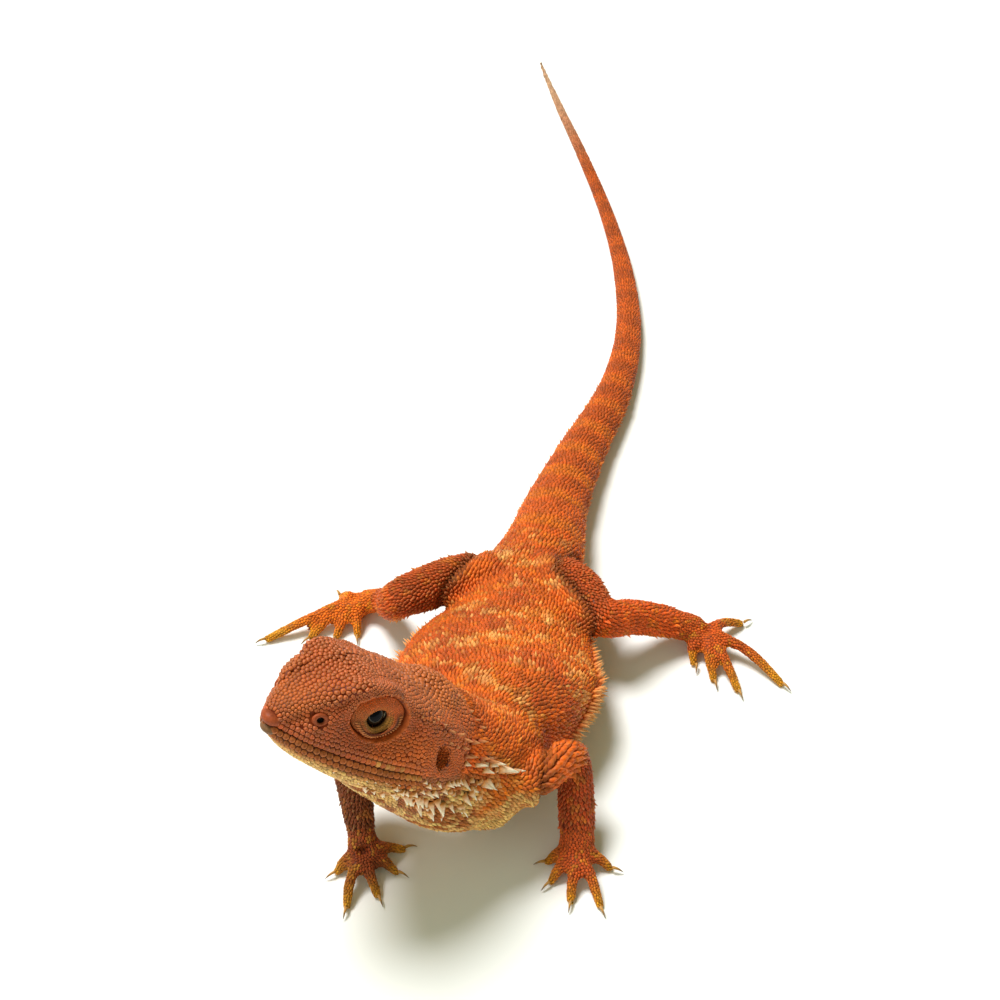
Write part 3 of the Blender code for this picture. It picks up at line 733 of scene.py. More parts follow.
def joint_share(points):
    """1 at the elbows, wrists, knees and ankles, fading to 0 away from them."""
    share = np.zeros(len(points))
    for upper, lower in JOINTS:
        far = np.linalg.norm(points - solids.cut_between(upper, lower), axis=1)
        share = np.maximum(share, step(9.0, 5.0, far))
    return share[:, None]


def brow_share(points):
    """1 at the front corners of the brow, fading to 0 away from them."""
    far = np.linalg.norm(mirrored(to_head(points)) - BROW_CORNER, axis=1)
    return hump(far, 4.2)[:, None]


def fold_share(points, labels):
    """1 in the folds where thighs and upper arms leave the trunk, fading to 0 away from them."""
    share = np.zeros(len(points))
    for limb, trunk in FOLDS:
        own = np.isin(labels, (FLESH.index(limb), FLESH.index(trunk)))
        middle = solids.cut_between(limb, trunk)
        near = np.flatnonzero(own & (np.linalg.norm(points - middle, axis=1) < 22.0))
        for i in near:
            there = points[i].tolist()
            a, b = (solids.trees[name].find_nearest(there)[3] for name in (limb, trunk))
            share[i] = max(share[i], hump(a - b, 1.1) * float(step(3.2, 1.6, a + b)))
    return share


def drawn_to_paws(points, where):
    """Hands and feet brought out to their solids, so that toes keep their full width to the claw."""
    points, share = points.copy(), np.zeros(len(points))
    for name in PAWS:
        here = np.flatnonzero(where["group"] == GROUPS.index(name))
        share[here] = step(1.5, 3.5, where["s"][here])
        for i in here:
            place = solids.trees[name].find_nearest(points[i].tolist())[0]
            points[i] += share[i] * (np.array(place) - points[i])
    return points, share[:, None]


def mesh_arrays(mesh):
    points = np.empty(len(mesh.vertices) * 3, np.float32)
    mesh.vertices.foreach_get("co", points)
    edges = np.empty(len(mesh.edges) * 2, np.int32)
    mesh.edges.foreach_get("vertices", edges)
    mesh.calc_loop_triangles()
    faces = np.empty(len(mesh.loop_triangles) * 3, np.int32)
    mesh.loop_triangles.foreach_get("vertices", faces)
    return points.reshape(-1, 3).astype(float) / MM, edges.reshape(-1, 2), faces.reshape(-1, 3)


def normals_of(points, faces):
    a, b, c = points[faces[:, 0]], points[faces[:, 1]], points[faces[:, 2]]
    face = np.cross(b - a, c - a)
    total = np.zeros_like(points)
    for k in range(3):
        for axis in range(3):
            total[:, axis] += np.bincount(faces[:, k], face[:, axis], len(points))
    return unit(total)


def lid_place(q):
    """How far each head-frame point is from the middle of the lids of its side: 1 on their edge."""
    a, c = np.array(LID_LONG)[[0, 2]], np.array(LID_TALL)[[0, 2]]
    inverse = np.linalg.inv(np.array([a, c]).T)
    offset = (q[:, [0, 2]] - np.array(LID_MIDDLE)[[0, 2]]) @ inverse.T
    rho = np.linalg.norm(offset, axis=1)
    rho[np.abs(q[:, 1]) < 5.0] = 9.0
    return rho, np.arctan2(offset[:, 1], offset[:, 0])


def sculpt_head(points, normals, on_head):
    """Sink the lids' bowl, raise its rim, and open the mouth slit, nostrils and ears."""
    q = to_head(points)
    b, l, u = mirrored(q).T
    rho, _ = lid_place(q)
    move = np.zeros(len(points))
    move -= 1.5 * step(1.06, 0.9, rho)
    move -= 0.35 * hump(rho - 1.02, 0.05)
    move += 0.4 * hump(rho - 1.09, 0.05)
    brow = u - np.interp(b, *zip(*BROW_LINE))
    ridge = step(2.0, 6.0, b) * step(36.0, 26.0, b) * (l > 2.0) * step(1.2, 1.45, rho)
    move += ridge * (0.5 * hump(brow, 1.2) - 0.9 * hump(brow + 3.8, 1.9))
    move += (lumps(points, 4.2, 41) - 0.5) * 0.8 * step(1.0, 3.0, brow + 2.0)
    move += 0.9 * hump(b - 8.0, 3.5) * step(4.0, 7.0, u) * (q[:, 1] < -4.0)
    move -= 0.3 * hump(u - mouth_height(b), 0.5) * (b > 0.6) * step(39.0, 36.5, b)
    hole = np.hypot(b - NOSTRIL[0], (u - NOSTRIL[1]) * 1.1)
    move -= (l > 3.0) * 1.3 * step(1.5, 0.9, hole)
    trough = hump(above_trough(b, u), 2.1) * step(37.6, 40.5, b) * step(53.0, 42.0, b)
    move -= 1.1 * trough * (l > 10) + 1.9 * step(1.5, 0.8, ear_distance(q))
    move[~on_head] = 0.0
    return points + normals * move[:, None]


def build_skin(settings):
    """One closed skin from all the flesh, smooth, sculpted and drawn in by the coat's depth."""
    shells = swollen_solids(SWELLING)
    remesh = shells.modifiers.new("Skin", "REMESH")
    remesh.mode = "VOXEL"
    remesh.voxel_size = settings.skin_grid * MM
    remesh.adaptivity = 0.0
    mesh = evaluated_copy(shells, "skin")
    bpy.data.objects.remove(shells)
    points, edges, faces = mesh_arrays(mesh)
    points = smoothed(points, edges, settings.skin_rounds)
    points = smoothed(points, edges, 3 * settings.skin_rounds, joint_share(points))
    points = smoothed(points, edges, 5 * settings.skin_rounds, brow_share(points), back=0.0)
    labels = solids.node_at(points)
    where = locate(points, labels)
    points, on_paw = drawn_to_paws(points, where)
    points = smoothed(points, edges, 3, on_paw)
    normals = normals_of(points, faces)
    where["fold"] = fold_share(points, labels)
    part = regions(where)
    slender = step(0.5, 0.9, tail_share(where["s"])) * part["spine"]
    coat = SWELLING + settings.coat_depth * (1 - slender[:, None])
    depth = (1 - on_paw) * coat + on_paw * settings.paw_depth
    points -= normals * (depth + FOLD_DEPTH * where["fold"][:, None])
    made["bare_surface"] = BVHTree.FromPolygons(points.tolist(), faces.tolist())
    points = sculpt_head(points, normals, part["head"])
    points[:, 2] = np.maximum(points[:, 2], SKIN_OVER_FLOOR)
    mesh.vertices.foreach_set("co", (points * MM).astype(np.float32).ravel())
    mesh.update()
    return mesh, points, faces, where


def skin_colours(points, where, settings):
    """The markings, darkened between the scales and darkest in slit, crease, pits and folds: all of it
    painted shade.
    """
    # Painted shade: the skin seen between the scales is at 0.3 of the markings, and darker still in the
    # limbs' folds.
    colour = markings(points, where, settings) * (0.3 * (1 - 0.75 * where["fold"]))[:, None]
    q = to_head(points)
    head = regions(where)["head"]
    slit = head * hump(q[:, 2] - mouth_height(q[:, 0]), 0.3) * (q[:, 0] < LIPS_END)
    rho, _ = lid_place(q)
    crease = head * step(1.06, 1.0, rho)
    pit = head * (np.abs(q[:, 1]) > 3) * step(1.0, 0.6, nostril_distance(q))
    ear = head * step(1.75, 1.35, ear_distance(q))
    # Painted shade in the mouth's slit, the lids' crease, the nostril pits and the ear holes.
    dark = np.clip(slit * 0.6 + crease * 0.5 + pit * 0.95 + ear * 0.98, 0, 0.98)
    rim = head * step(1.02, 1.06, rho) * step(1.22, 1.14, rho)
    colour = mix(colour, linear((204, 98, 42)) * settings.paint_depth, rim)
    return mix(colour, PIT_SHADE, dark)


# ---- scales --------------------------------------------------------------------------------------

def scale_widths(points, where):
    """Width of the scales at each place: broad on the crown and back, fine on lids, ears and toes."""
    q, part = to_head(points), regions(where)
    b, u = q[:, 0], q[:, 2]
    mouth = mouth_height(b)
    rho, _ = lid_place(q)
    by_ear = (b > 35) & (b < 52) & (np.abs(above_trough(b, u)) < 3.4) | (ear_distance(q) < 2.0)
    crown = 1.4 + 0.75 * step(0.45, 0.75, lumps(points, 5.0, 51))
    head = np.select([by_ear, u < mouth - 3.4, rho < 1.5, (b < 20) & (u < 8.5) & (u > mouth + 2.6),
                      (b < 9) & (u > 2.0), u > 8.5], [0.8, 1.0, 0.85, 1.15, 1.4, crown], 1.2)
    s, share = where["s"], tail_share(where["s"])
    belly = (np.abs(where["angle"]) > 2.0) & (s < TAIL_START)
    spine = np.select([belly, s < TAIL_START - 96, s > TAIL_START],
                      [1.1, 1.0, 1.3 - 0.55 * share - 0.25 * step(0.8, 1.0, share)], 1.28)
    return np.select([part["head"], part["spine"], part["paws"], part["shoulder"]],
                     [head, spine, 0.95 - 0.2 * where["toe"], 1.85], 1.22)


def bare_of_scales(points, where):
    """Places with no scales: under the lids, in the mouth's slit, nostrils and ear holes."""
    q = to_head(points)
    rho, _ = lid_place(q)
    slit = (np.abs(q[:, 2] - mouth_height(q[:, 0])) < 0.2) & (q[:, 0] < LIPS_END)
    hole = (nostril_distance(q) < 1.75) & (np.abs(q[:, 1]) > 3)
    bare = (rho < 1.12) | slit | hole | (ear_distance(q) < 1.3)
    for middle, radii, _ in SNOUT_PLATES:
        bare |= np.linalg.norm((q - middle) / radii, axis=1) < 1.0
    return regions(where)["head"] & bare


def tree_of(points):
    tree = KDTree(len(points))
    places = points.tolist()
    for i, p in enumerate(places):
        tree.insert(p, i)
    tree.balance()
    return tree, places


def neighbours(points, count):
    tree, places = tree_of(points)
    return np.array([[hit[1] for hit in tree.find_n(p, count + 1)] for p in places])


def thinned(points, widths, fixed):
    """Indices of points no closer together than their widths allow; the first ones stay."""
    tree, places = tree_of(points)
    alive = np.ones(len(points), bool)
    for i, p in enumerate(places):
        if not alive[i]:
            continue
        for _, j, _ in tree.find_range(p, 0.74 * widths[i]):
            if j > i and j >= fixed:
                alive[j] = False
    return np.flatnonzero(alive)


class SkinSurface:
    """The finished skin as a bank of triangles that points can be laid on."""

    def __init__(self, points, faces):
        self.points = points
        self.faces = faces
        self.normals = normals_of(points, faces)
        self.tree = BVHTree.FromPolygons(points.tolist(), faces.tolist())

    def lay(self, places):
        hits = [self.tree.find_nearest(p) for p in places.tolist()]
        laid = np.array([tuple(hit[0]) for hit in hits])
        corners = self.faces[[hit[2] for hit in hits]]
        return laid, unit(self.normals[corners].sum(axis=1))


def lip_rows():
    """Roots and widths of the scales in the rows along the lips and jaw."""
    roots, widths = [], []
    for offset, width, start, end in LIP_ROWS:
        for side in (1, -1):
            b = start
            while b < end:
                ahead = from_head((b, side * 40.0, mouth_height(b) + offset))
                hit = made["surface"].tree.ray_cast(ahead.tolist(), (-side * HEAD_AXES[1]).tolist())
                if hit[0] is not None:
                    roots.append(tuple(hit[0]))
                    widths.append(width)
                b += width * (0.98 if b > 8 else 0.7)
    return np.array(roots), np.array(widths)


def scale_roots(settings):
    """Evenly crowded roots of all scales with their normals, widths and lie."""
    rng = np.random.default_rng(settings.seed)
    surface, where = made["surface"], made["skin_where"]
    faces, points = surface.faces, surface.points
    widths = scale_widths(points, where) * settings.scale_share
    a, b, c = points[faces[:, 0]], points[faces[:, 1]], points[faces[:, 2]]
    area = np.linalg.norm(np.cross(b - a, c - a), axis=1) / 2
    local = widths[faces].mean(axis=1)
    expected = area / (0.8 * local ** 2) * 3.0
    counts = np.floor(expected + rng.random(len(faces))).astype(int)
    pick = np.repeat(np.arange(len(faces)), counts)
    r1, r2 = np.sqrt(rng.random(len(pick))), rng.random(len(pick))
    spots = a[pick] * (1 - r1)[:, None] + b[pick] * (r1 * (1 - r2))[:, None] + c[pick] * (r1 * r2)[:, None]
    order = rng.permutation(len(spots))
    spots, spot_widths = spots[order], local[pick][order]
    rows, row_widths = lip_rows()
    spots = np.concatenate([rows, spots])
    spot_widths = np.concatenate([row_widths, spot_widths])
    labels = solids.node_at(spots)
    keep = ~bare_of_scales(spots, locate(spots, labels))
    keep[:len(rows)] = True
    spots, spot_widths = spots[keep], spot_widths[keep]
    chosen = thinned(spots, spot_widths, len(rows))
    spots, spot_widths = spots[chosen], spot_widths[chosen]
    fixed = int((chosen < len(rows)).sum())
    for turn in range(settings.relax_rounds):
        if turn % 2 == 0:
            near = neighbours(spots, 7)[:, 1:]
        gap = spots[near] - spots[:, None]
        far = np.linalg.norm(gap, axis=2)
        wish = (spot_widths[:, None] + spot_widths[near]) / 2 * 1.12
        push = np.maximum(wish - far, 0)[..., None] * gap / np.maximum(far, 1e-6)[..., None]
        push[:fixed] = 0
        spots, normals = surface.lay(spots - 0.28 * push.sum(axis=1))
    labels = solids.node_at(spots)
    where = locate(spots, labels)
    keep = ~bare_of_scales(spots, where)
    keep[:fixed] = True
    thorns = made["head_spines"]
    for root, width in zip(thorns["points"].tolist(), thorns["width"]):
        near = np.linalg.norm(spots - root, axis=1) < 0.42 * width
        keep &= ~near
    spots, spot_widths, normals = spots[keep], spot_widths[keep], normals[keep]
    where = {key: value[keep] for key, value in where.items()}
    where["fold"] = fold_share(spots, where["label"])
    near = neighbours(spots, 16)[:, 1:]
    lie = where["lie"]
    for _ in range(3):
        lie = lie + lie[near[:, :6]].mean(axis=1)
        lie = unit(lie - (lie * normals).sum(axis=1, keepdims=True) * normals)
    return {"points": spots, "normals": normals, "widths": spot_widths, "lie": lie,
            "where": where, "near": near, "fixed": fixed}


def reaches(roots, sides):
    """How far each scale spreads in each direction before it meets a neighbour."""
    p, n, lie = roots["points"], roots["normals"], roots["lie"]
    across = np.cross(n, lie)
    gap = p[roots["near"]] - p[:, None]
    x = (gap * lie[:, None]).sum(axis=2)
    y = (gap * across[:, None]).sum(axis=2)
    facing = (n[roots["near"]] * n[:, None]).sum(axis=2) > 0.1
    squared = x * x + y * y
    turn = np.arange(sides) * 2 * math.pi / sides
    reach = np.empty((len(p), sides))
    for k in range(sides):
        toward = x * math.cos(turn[k]) + y * math.sin(turn[k])
        limit = np.where((toward > 1e-3) & facing, squared / 2 / np.maximum(toward, 1e-3), np.inf)
        reach[:, k] = limit.min(axis=1)
    return np.clip(reach, 0.28 * roots["widths"][:, None], 0.78 * roots["widths"][:, None])


def island(where):
    """Place of each root on the texture square: one field to each body region."""
    part, s = regions(where), where["s"]
    fields = {"head": (0.5, 0.5, 0.48, 0.48), "trunk": (0.01, 0.5, 0.48, 0.48),
              "tail": (0.01, 0.34, 0.97, 0.14)}
    start = np.where(part["tail"], TAIL_START, 0.0)
    cells, reach = np.zeros((len(s), 4)), np.zeros(len(s))
    for g, name in enumerate(GROUPS):
        here = where["group"] == g
        if here.any():
            reach[here] = s[here].max()
        if g > 1:
            cells[here] = (0.01 + 0.245 * ((g - 2) % 4), 0.18 if g < 6 else 0.01, 0.225, 0.15)
    for name, field in fields.items():
        cells[part[name]] = field
    reach = np.where(part["trunk"], TAIL_START, reach)
    u = np.clip((s - start) / np.maximum(reach - start, 1e-6), 0, 1)
    v = where["angle"] / (2 * math.pi) + 0.5
    return np.stack([cells[:, 0] + cells[:, 2] * u, cells[:, 1] + cells[:, 3] * v], axis=1)


def plates(roots, keep, reach, style, colours, patches):
    """Corners, loops and attributes of closed overlapping plates on the kept roots."""
    p, n, lie = (roots[key][keep][:, None] for key in ("points", "normals", "lie"))
    across = np.cross(n, lie)
    sides = reach.shape[1]
    turn = np.arange(sides) * 2 * math.pi / sides
    spoke = np.cos(turn)[None, :, None] * lie + np.sin(turn)[None, :, None] * across
    back = np.maximum(np.cos(turn), 0)[None] ** 2
    tip = (np.arange(sides) == 0)[None] * 1.0
    reach = reach[keep][..., None]
    thick, overlap, lift, ridge, span, heart = (
        style[key][keep][:, None, None] for key in ("thick", "overlap", "lift", "ridge", "edge", "heart"))
    bottom = p + spoke * reach * 0.95 - n * 0.18
    edge = p + spoke * reach * (span + overlap * (0.6 * back + 0.9 * tip)[..., None])
    edge = edge + n * (thick * 0.45 + lift * back[..., None] + ridge * 0.5 * tip[..., None])
    middle = p + n * (thick + ridge + lift * 0.35)
    middle = middle + lie * reach.mean(axis=1, keepdims=True) * 0.18 * (ridge > 0)
    corners = np.concatenate([bottom, edge, middle], axis=1)
    count, per = len(corners), 2 * sides + 1
    ring = np.arange(sides)
    after = (ring + 1) % sides
    walls = np.stack([ring, after, sides + after, sides + ring], axis=1).ravel()
    cap = np.stack([np.full(sides, 2 * sides), sides + ring, sides + after], axis=1).ravel()
    pattern = np.concatenate([walls, cap, ring[::-1]])
    sizes = np.tile([4] * sides + [3] * sides + [sides], count)
    flat = (pattern[None] + np.arange(count)[:, None] * per).ravel()
    base = colours[keep][:, None]
    edge_colour = mix(base, style["rim"][keep][:, None], style["rim_share"][keep][:, None])
    edge_colour = edge_colour * (0.8 + 0.35 * back[..., None])
    # Painted shade: the bottom ring of each plate, where it meets the skin, is at 0.16 of its colour.
    shade = np.concatenate([base * 0.16 * np.ones((1, sides, 1)), edge_colour, base * heart], axis=1)
    rim = np.tile(np.repeat([0.0, 1.0, 0.0], [sides, sides, 1]), count)
    round_patch = np.stack([np.cos(turn), np.sin(turn)], axis=1)[None] * PATCH_SIZE / 2
    place = patches[keep][:, None]
    patch = np.concatenate([place + round_patch, place + round_patch * 0.8, place], axis=1)
    return {"points": corners.reshape(-1, 3), "flat": flat, "sizes": sizes,
            "colours": shade.reshape(-1, 3), "rim": rim, "patches": patch.reshape(-1, 2)}


def plates_object(name, parts):
    """One mesh from several batches of plates."""
    start, flat = 0, []
    for part in parts:
        flat.append(part["flat"] + start)
        start += len(part["points"])
    joined = {key: np.concatenate([part[key] for part in parts])
              for key in ("points", "sizes", "colours", "rim", "patches")}
    points = joined["points"]
    points[:, 2] = np.maximum(points[:, 2], COAT_OVER_FLOOR)
    return make_mesh(name, points, (np.concatenate(flat), joined["sizes"]), joined["colours"],
                     joined["rim"], joined["patches"])


# Styles by place: crown, jaw, head, trunk, tail, paws, shoulders, and elsewhere. Thickness, lift
# and keel are shares of the scale's width.
SCALE_STYLES = {
    "thick": (0.34, 0.22, 0.26, 0.18, 0.18, 0.22, 0.18, 0.18),
    "overlap": (0.02, 0.25, 0.08, 0.6, 0.45, 0.3, 1.1, 0.55),
    "lift": (0.0, 0.14, 0.07, 0.32, 0.16, 0.1, 0.3, 0.3),
    "ridge": (0.1, 0.04, 0.08, 0.12, 0.12, 0.04, 0.22, 0.12),
    "edge": (0.83, 0.84, 0.84, 0.84, 0.84, 0.84, 0.84, 0.84),
    "rim_share": (1.0, 0.3, 0.75, 0.4, 0.25, 0.35, 0.6, 0.35),
    "heart": (0.55, 0.9, 0.7, 0.8, 0.8, 0.8, 0.8, 0.8),
}


def scale_styles(roots, rng):
    """Thickness, overlap, lift, keel and edge colour of each scale by where it grows."""
    width, part = roots["widths"], regions(roots["where"])
    q = to_head(roots["points"])
    crown = part["head"] & (q[:, 2] > 7.5)
    jaw = part["head"] & (q[:, 2] < mouth_height(q[:, 0]) - 3.0)
    places = [crown, jaw, part["head"], part["trunk"], part["tail"], part["paws"], part["shoulder"]]
    style = {key: np.select(places, values[:-1], values[-1]) for key, values in SCALE_STYLES.items()}
    for key in ("thick", "lift", "ridge"):
        style[key] = style[key] * width
    style["thick"] = style["thick"] * rng.uniform(0.85, 1.15, len(width))
    style["lift"] = style["lift"] * rng.uniform(0.5, 1.6, len(width))
    return style


def rough_scale_colours(roots, settings, rng):
    """Markings at the roots, each scale a little lighter or darker than its neighbours, with painted shade on
    the scales in the limbs' folds.
    """
    colours = markings(roots["points"], roots["where"], settings)
    swing = 1 + settings.unevenness * (rng.random(len(colours)) - 0.5) * 2
    warm = 1 + 0.08 * rng.standard_normal((len(colours), 1)) * np.array([[0.3, 1.0, 0.6]])
    # Scales in the folds get painted shade.
    return colours * (swing * (1 - 0.65 * roots["where"]["fold"]))[:, None] * warm


SCALE_PIECES = {
    "scales_head": ("head_scales", ("head",)),
    "scales_jaw": ("jaw_scales", ("lower_jaw",)),
    "scales_neck": ("body_scales", ("neck",)),
    "scales_trunk_front": ("body_scales", ("trunk_front",)),
    "scales_trunk_rear": ("body_scales", ("trunk_rear",)),
    "scales_tail_base": ("tail_scales", ("tail_1", "tail_2")),
    "scales_tail_end": ("tail_scales", ("tail_3", "tail_4", "tail_5")),
    "scales_arms": ("leg_scales", ("upper_arm_left", "forearm_left", "upper_arm_right", "forearm_right")),
    "scales_legs": ("leg_scales", ("thigh_left", "shank_left", "thigh_right", "shank_right")),
    "scales_hands": ("toe_scales", PAWS[:2]),
    "scales_feet": ("toe_scales", PAWS[2:]),
}


# ---- spines --------------------------------------------------------------------------------------

def spine_tree():
    """Geometry Nodes: a curved thorn on every point, turned, stretched and coloured by the point."""
    name = "Dragon Spines"
    if name in bpy.data.node_groups:
        return bpy.data.node_groups[name]
    tree = new_group(name, "GeometryNodeTree",
                     {"Geometry": "Geometry", "Curl": "Float", "Material": "Material"},
                     {"Geometry": "Geometry"})
    add = node_maker(tree)
    given = add("NodeGroupInput").outputs

    def named(label, kind="FLOAT_VECTOR"):
        return add("GeometryNodeInputNamedAttribute", {"Name": label}, data_type=kind).outputs["Attribute"]

    def stored(geometry, label, value, kind, domain="POINT"):
        return add("GeometryNodeStoreNamedAttribute", {"Geometry": geometry, "Name": label, "Value": value},
                   data_type=kind, domain=domain).outputs["Geometry"]

    def times(a, b):
        return add("ShaderNodeMath", {0: a, 1: b}, operation="MULTIPLY").outputs[0]

    cone = add("GeometryNodeMeshCone", {"Vertices": 6, "Side Segments": 3, "Radius Top": 0.03,
                                        "Radius Bottom": 0.5, "Depth": 1.0}).outputs["Mesh"]
    place = add("GeometryNodeInputPosition").outputs[0]
    height = add("ShaderNodeSeparateXYZ", {0: place}).outputs["Z"]
    shift = add("ShaderNodeCombineXYZ", {"X": times(times(height, height), given["Curl"])}).outputs[0]
    thorn = add("GeometryNodeSetPosition", {"Geometry": cone, "Offset": shift}).outputs["Geometry"]
    thorn = stored(thorn, "Height", height, "FLOAT")
    patch = add("ShaderNodeVectorMath", {0: place, "Scale": PATCH_SIZE}, operation="SCALE").outputs[0]
    thorn = stored(thorn, "Patch", patch, "FLOAT_VECTOR")

    aim = add("FunctionNodeAlignRotationToVector", {"Vector": named("Way")}, axis="Z").outputs[0]
    roll = add("FunctionNodeAlignRotationToVector", {"Rotation": aim, "Vector": named("Hook")}, axis="X",
               pivot_axis="Z").outputs[0]
    copies = add("GeometryNodeInstanceOnPoints", {"Points": given["Geometry"], "Instance": thorn,
                                                  "Rotation": roll, "Scale": named("Stretch")}).outputs[0]
    real = add("GeometryNodeRealizeInstances", {0: copies}).outputs[0]
    spot = add("ShaderNodeVectorMath", {0: named("Root"), 1: named("Patch")}, operation="ADD").outputs[0]
    real = stored(real, "OFBake", spot, "FLOAT2", "CORNER")
    blend = add("ShaderNodeMix", {"Factor": named("Height", "FLOAT"),
                                  "A": named("Foot Colour", "FLOAT_COLOR"),
                                  "B": named("Tip Colour", "FLOAT_COLOR")},
                data_type="RGBA").outputs["Result"]
    real = stored(real, "Colour", blend, "FLOAT_COLOR")
    smooth = add("GeometryNodeSetShadeSmooth", {"Geometry": real}).outputs["Geometry"]
    finish = add("GeometryNodeSetMaterial", {"Geometry": smooth, "Material": given["Material"]})
    add("NodeGroupOutput", {0: finish.outputs["Geometry"]})
    return tree


def grow_spines(name, spines, material):
    """Plain mesh of thorns at the given roots."""
    mesh = bpy.data.meshes.new(name)
    mesh.from_pydata((spines["points"] * MM).tolist(), [], [])
    flat = np.zeros((len(spines["way"]), 1))
    size = np.stack([spines["width"], spines["width"], spines["length"]], axis=1) * MM
    given = {"Way": spines["way"], "Hook": spines["hook"], "Stretch": size,
             "Root": np.concatenate([spines["patch"], flat], axis=1),
             "Foot Colour": spines["foot"], "Tip Colour": spines["tip"]}
    for label, values in given.items():
        store(mesh, label, values)
    points = add_object(name + "_points", mesh)
    tree = spine_tree()
    sockets = {item.name: item.identifier for item in tree.interface.items_tree if item.in_out == "INPUT"}
    grow = points.modifiers.new("Spines", "NODES")
    grow.node_group = tree
    grow[sockets["Curl"]] = SPINE_CURL
    grow[sockets["Material"]] = material
    plain = evaluated_copy(points, name)
    bpy.data.objects.remove(points)
    for spare in (*given, "Patch", "Height"):
        if spare in plain.attributes:
            plain.attributes.remove(plain.attributes[spare])
    return add_object(name, plain)


# Rows of spines on the head: ends of the row (back, out, up), number, lengths at its ends, width,
# and the way they point (back, out, up). Both sides grow them.
HEAD_SPINES = {
    "beard_upper": ((37.0, 18.0, -6.0), (57.0, 18.0, -5.0), 12, (1.6, 3.4), 1.9, (0.8, 0.42, -0.5)),
    "beard_middle": ((31.0, 16.2, -8.2), (57.0, 18.5, -8.5), 16, (1.5, 3.8), 2.1, (0.72, 0.42, -0.62)),
    "beard_lower": ((24.0, 12.6, -9.4), (52.0, 17.5, -11.2), 18, (1.2, 4.0), 2.2, (0.6, 0.34, -0.8)),
    "beard_throat": ((36.0, 13.6, -12.0), (48.0, 15.6, -13.2), 8, (1.8, 3.4), 2.1, (0.6, 0.26, -0.8)),
    "jaw_edge": ((12.0, 9.0, -6.4), (33.0, 15.6, -8.0), 17, (0.6, 1.2), 0.95, (0.85, 0.3, -0.5)),
    "jaw_corner": ((55.0, 18.0, -3.2), (64.0, 18.8, -2.6), 5, (2.8, 4.2), 2.3, (0.86, 0.5, 0.1)),
    "jaw_corner_low": ((53.0, 18.0, -6.4), (61.0, 18.6, -5.4), 6, (2.6, 3.8), 2.1, (0.8, 0.45, -0.25)),
    "temple": ((33.0, 13.5, 8.6), (53.6, 15.0, 2.2), 11, (1.1, 2.5), 1.6, (0.85, 0.45, 0.3)),
    "temple_low": ((42.0, 16.0, 3.0), (56.0, 16.4, -1.0), 7, (1.3, 2.8), 1.6, (0.85, 0.5, 0.12)),
    "behind_ear": ((51.0, 16.6, -2.4), (58.0, 17.2, -1.4), 5, (1.8, 3.0), 1.5, (0.86, 0.5, 0.05)),
    "nape": ((50.0, 4.0, 7.0), (54.0, 12.5, 4.4), 5, (1.5, 2.4), 1.5, (0.85, 0.2, 0.45)),
}


def head_spines(settings, rng):
    rows = []
    for name, (start, end, count, lengths, width, way) in HEAD_SPINES.items():
        for side in (1, -1):
            t = np.linspace(0, 1, count)[:, None]
            q = np.array(start) + (np.array(end) - np.array(start)) * t
            q = q + rng.normal(0, 0.5, q.shape)
            q[:, 1] *= side
            laid, normals = made["surface"].lay(from_head(q))
            aim = np.array(way) * [1, side, 1] + rng.normal(0, 0.15, (count, 3))
            length = (lengths[0] + (lengths[1] - lengths[0]) * t[:, 0]) * rng.uniform(0.65, 1.2, count)
            upper = name.startswith(("temple", "nape"))
            tip = linear((232, 160, 104) if upper else settings.spike_cream)
            foot = linear((150, 60, 26) if upper else (226, 148, 78))
            rows.append({"points": laid - normals * 0.25, "way": unit(aim @ HEAD_AXES), "hook": normals,
                         "width": width * rng.uniform(0.7, 1.15, count), "length": length,
                         "foot": np.tile(foot, (count, 1)), "tip": np.tile(tip, (count, 1)),
                         "labels": solids.node_at(laid)})
    joined = {key: np.concatenate([row[key] for row in rows]) for key in rows[0]}
    joined["patch"] = island(locate(joined["points"], joined.pop("labels")))
    return joined


def body_spines(roots, rng):
    """Thorns that grow among the body's scales: flank fringe, tail sides, limbs and back."""
    where = roots["where"]
    part = regions(where)
    s, angle = where["s"], np.abs(where["angle"])
    from_tail = s - TAIL_START
    on_trunk = part["spine"] & (from_tail < 0) & (s > 24)
    chance = rng.random(len(s))
    fringe = on_trunk & (np.abs(angle - 1.72) < 0.2) & (chance < 0.75) & (from_tail < -6)
    fringe &= roots["points"][:, 1] > SHOULDERS + 12.0
    back = on_trunk & (angle < 1.5) & (chance < 0.09)
    tail = part["spine"] & (from_tail >= 0) & (from_tail < 70) & (np.abs(angle - 1.6) < 0.25) & (chance < 0.5)
    names = np.array(FLESH)[where["label"]]
    upper, lower = (np.char.startswith(names, a) | np.char.startswith(names, b)
                    for a, b in (("thigh", "upper_arm"), ("shank", "forearm")))
    thorny = (upper & (chance < 0.16)) | (lower & (chance < 0.1))
    pick = np.flatnonzero(fringe | back | tail | thorny)
    n, lie, colour = roots["normals"][pick], roots["lie"][pick], roots["colours"][pick]

    def by_place(*values):
        return np.select([fringe[pick], back[pick], tail[pick]], values[:3], values[3])

    stand = by_place(0.62, 0.3, 0.35, 0.42)[:, None]
    way = unit(lie * (1 - stand) + n * stand + rng.normal(0, 0.06, n.shape))
    length = by_place(2.6, 1.4, 1.5, 1.35) * rng.uniform(0.7, 1.2, len(pick))
    return {"points": roots["points"][pick] - n * 0.15, "way": way, "hook": n,
            "width": by_place(1.15, 1.05, 1.0, 1.0), "length": length, "foot": colour,
            "tip": over(colour, (246, 196, 128), by_place(0.75, 0.35, 0.3, 0.3)),
            "patch": roots["patch"][pick]}


# ---- eyes, lids, claws -----------------------------------------------------------------------------

def circle(sectors, across, up):
    """Directions all round from across through up."""
    turn = np.arange(sectors) * 2 * math.pi / sectors
    return np.cos(turn)[:, None] * across + np.sin(turn)[:, None] * up


